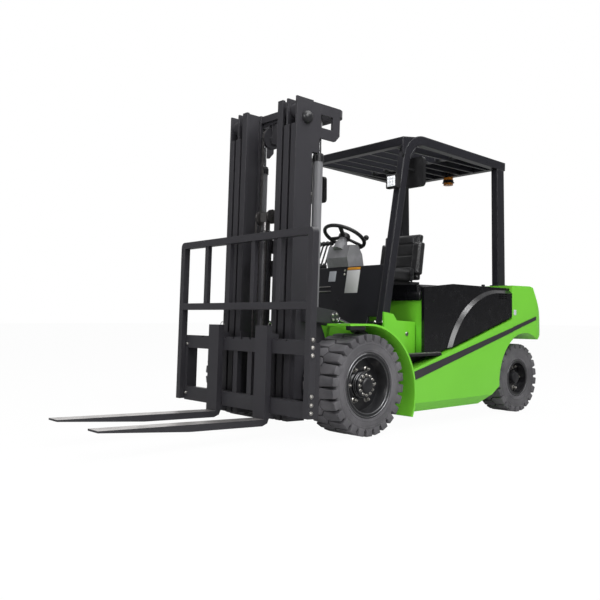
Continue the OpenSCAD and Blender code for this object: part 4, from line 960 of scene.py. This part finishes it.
display = join(block((-0.040, -0.075, 0), (0.040, 0.075, 0.012), 0.005),
               block((-0.029, -0.062, 0.010), (0.029, 0.062, 0.0135), 0.0015))
display.matrix_world = towards(truck(-547, 0, 1366), Vector((-0.83, 0, 0.55)))
settle(display, "dash_display", cap_plastic, "truck")
stalk = block(truck(-1032, 250, 1110), truck(-1012, 257, 1180), 0.002)
buckle = block(truck(-1042, 246, 1172), truck(-1002, 262, 1232), 0.006)
settle(join(stalk, buckle), "belt_buckle", cap_plastic, "truck")
print("controls done")

# %% [markdown]
# ## Studio
# A cut-out photograph has a white ground. The floor answers camera rays with a near-white glow and still takes
# a faint shadow. Reflections see a white backdrop behind the truck and above it, and a dim room on the camera's
# side, as in a real studio. Three large soft lamps shape the truck, and a narrow strip draws bright lines along
# the round edges of the hood and the guard.


# %% Floor, world and lamps
FLOOR_WHITE, AMBIENT = 0.97, 0.34


def ray_kinds(tree):
    """Two wires: rays that the camera sees straight or through glass, and reflected rays."""
    rays = tree.nodes.new("ShaderNodeLightPath").outputs
    straight, clear = Wire(tree, rays["Is Camera Ray"]), Wire(tree, rays["Is Transmission Ray"])
    return straight.math("MAXIMUM", clear), Wire(tree, rays["Is Glossy Ray"])


def studio_floor():
    deselect()
    bpy.ops.mesh.primitive_plane_add(size=120, location=(0, 0, -0.002))
    floor = bpy.context.object
    floor.name = "studio_floor"
    material = bpy.data.materials.new("studio_floor")
    material.use_nodes = True
    tree = material.node_tree
    output = tree.nodes["Material Output"]
    shader = tree.nodes["Principled BSDF"]
    shader.inputs["Base Color"].default_value = (0.85, 0.85, 0.85, 1)
    shader.inputs["Roughness"].default_value = 0.9
    shader.inputs["Specular IOR Level"].default_value = 0.0
    seen, glossy_ray = ray_kinds(tree)
    lit = Wire(tree, shader.outputs[0])
    dim = lit.node("Emission", Strength=0.22)
    white = lit.node("Emission", Strength=1.0)
    lit = lit.node("MixShader", i0=glossy_ray * 0.9, i1=lit, i2=dim)
    lit = lit.node("MixShader", i0=seen * FLOOR_WHITE, i1=lit, i2=white)
    tree.links.new(lit.socket, output.inputs["Surface"])
    floor.data.materials.append(material)


def studio_world():
    world = bpy.data.worlds.new("studio")
    bpy.context.scene.world = world
    world.use_nodes = True
    tree = world.node_tree
    ground = tree.nodes["Background"]
    ground.inputs["Color"].default_value = (1, 1, 1, 1)
    seen, glossy_ray = ray_kinds(tree)
    way = Wire(tree, tree.nodes.new("ShaderNodeTexCoord").outputs["Generated"])
    behind = way.node("VectorMath", {"operation": "DOT_PRODUCT"}, out=1, i0=way, i1=tuple(ahead)).ramp(0.25, 0.85)
    above = way.node("SeparateXYZ", out=2, Vector=way).ramp(0.35, 0.95)
    reflected = behind * 0.8 + above * 0.7 - 0.24
    strength = seen * (1 - AMBIENT) + glossy_ray * reflected + AMBIENT
    tree.links.new(strength.socket, ground.inputs["Strength"])


def soft_lamp(name, place, aim, size, watts):
    data = bpy.data.lights.new(name, "AREA")
    data.shape = "RECTANGLE"
    data.size, data.size_y = size
    data.energy = watts
    lamp = bpy.data.objects.new(name, data)
    bpy.context.scene.collection.objects.link(lamp)
    lamp.location = place
    lamp.rotation_euler = (Vector(aim) - Vector(place)).to_track_quat("-Z", "Y").to_euler()
    lamp.visible_camera = False


studio_floor()
studio_world()
soft_lamp("key_lamp", (2.0, 6.5, 5.5), (-0.4, 0, 1.0), (5, 3), 350)
soft_lamp("front_lamp", (7.0, 1.0, 3.5), (0.4, 0, 1.0), (3, 3), 170)
soft_lamp("top_lamp", (-1.0, 0.5, 7.0), (-0.6, 0, 0.8), (6, 5), 210)
soft_lamp("strip_lamp", (-1.0, 4.2, 7.0), (-1.0, 0.4, 1.2), (6, 0.6), 180)
print("studio ready")
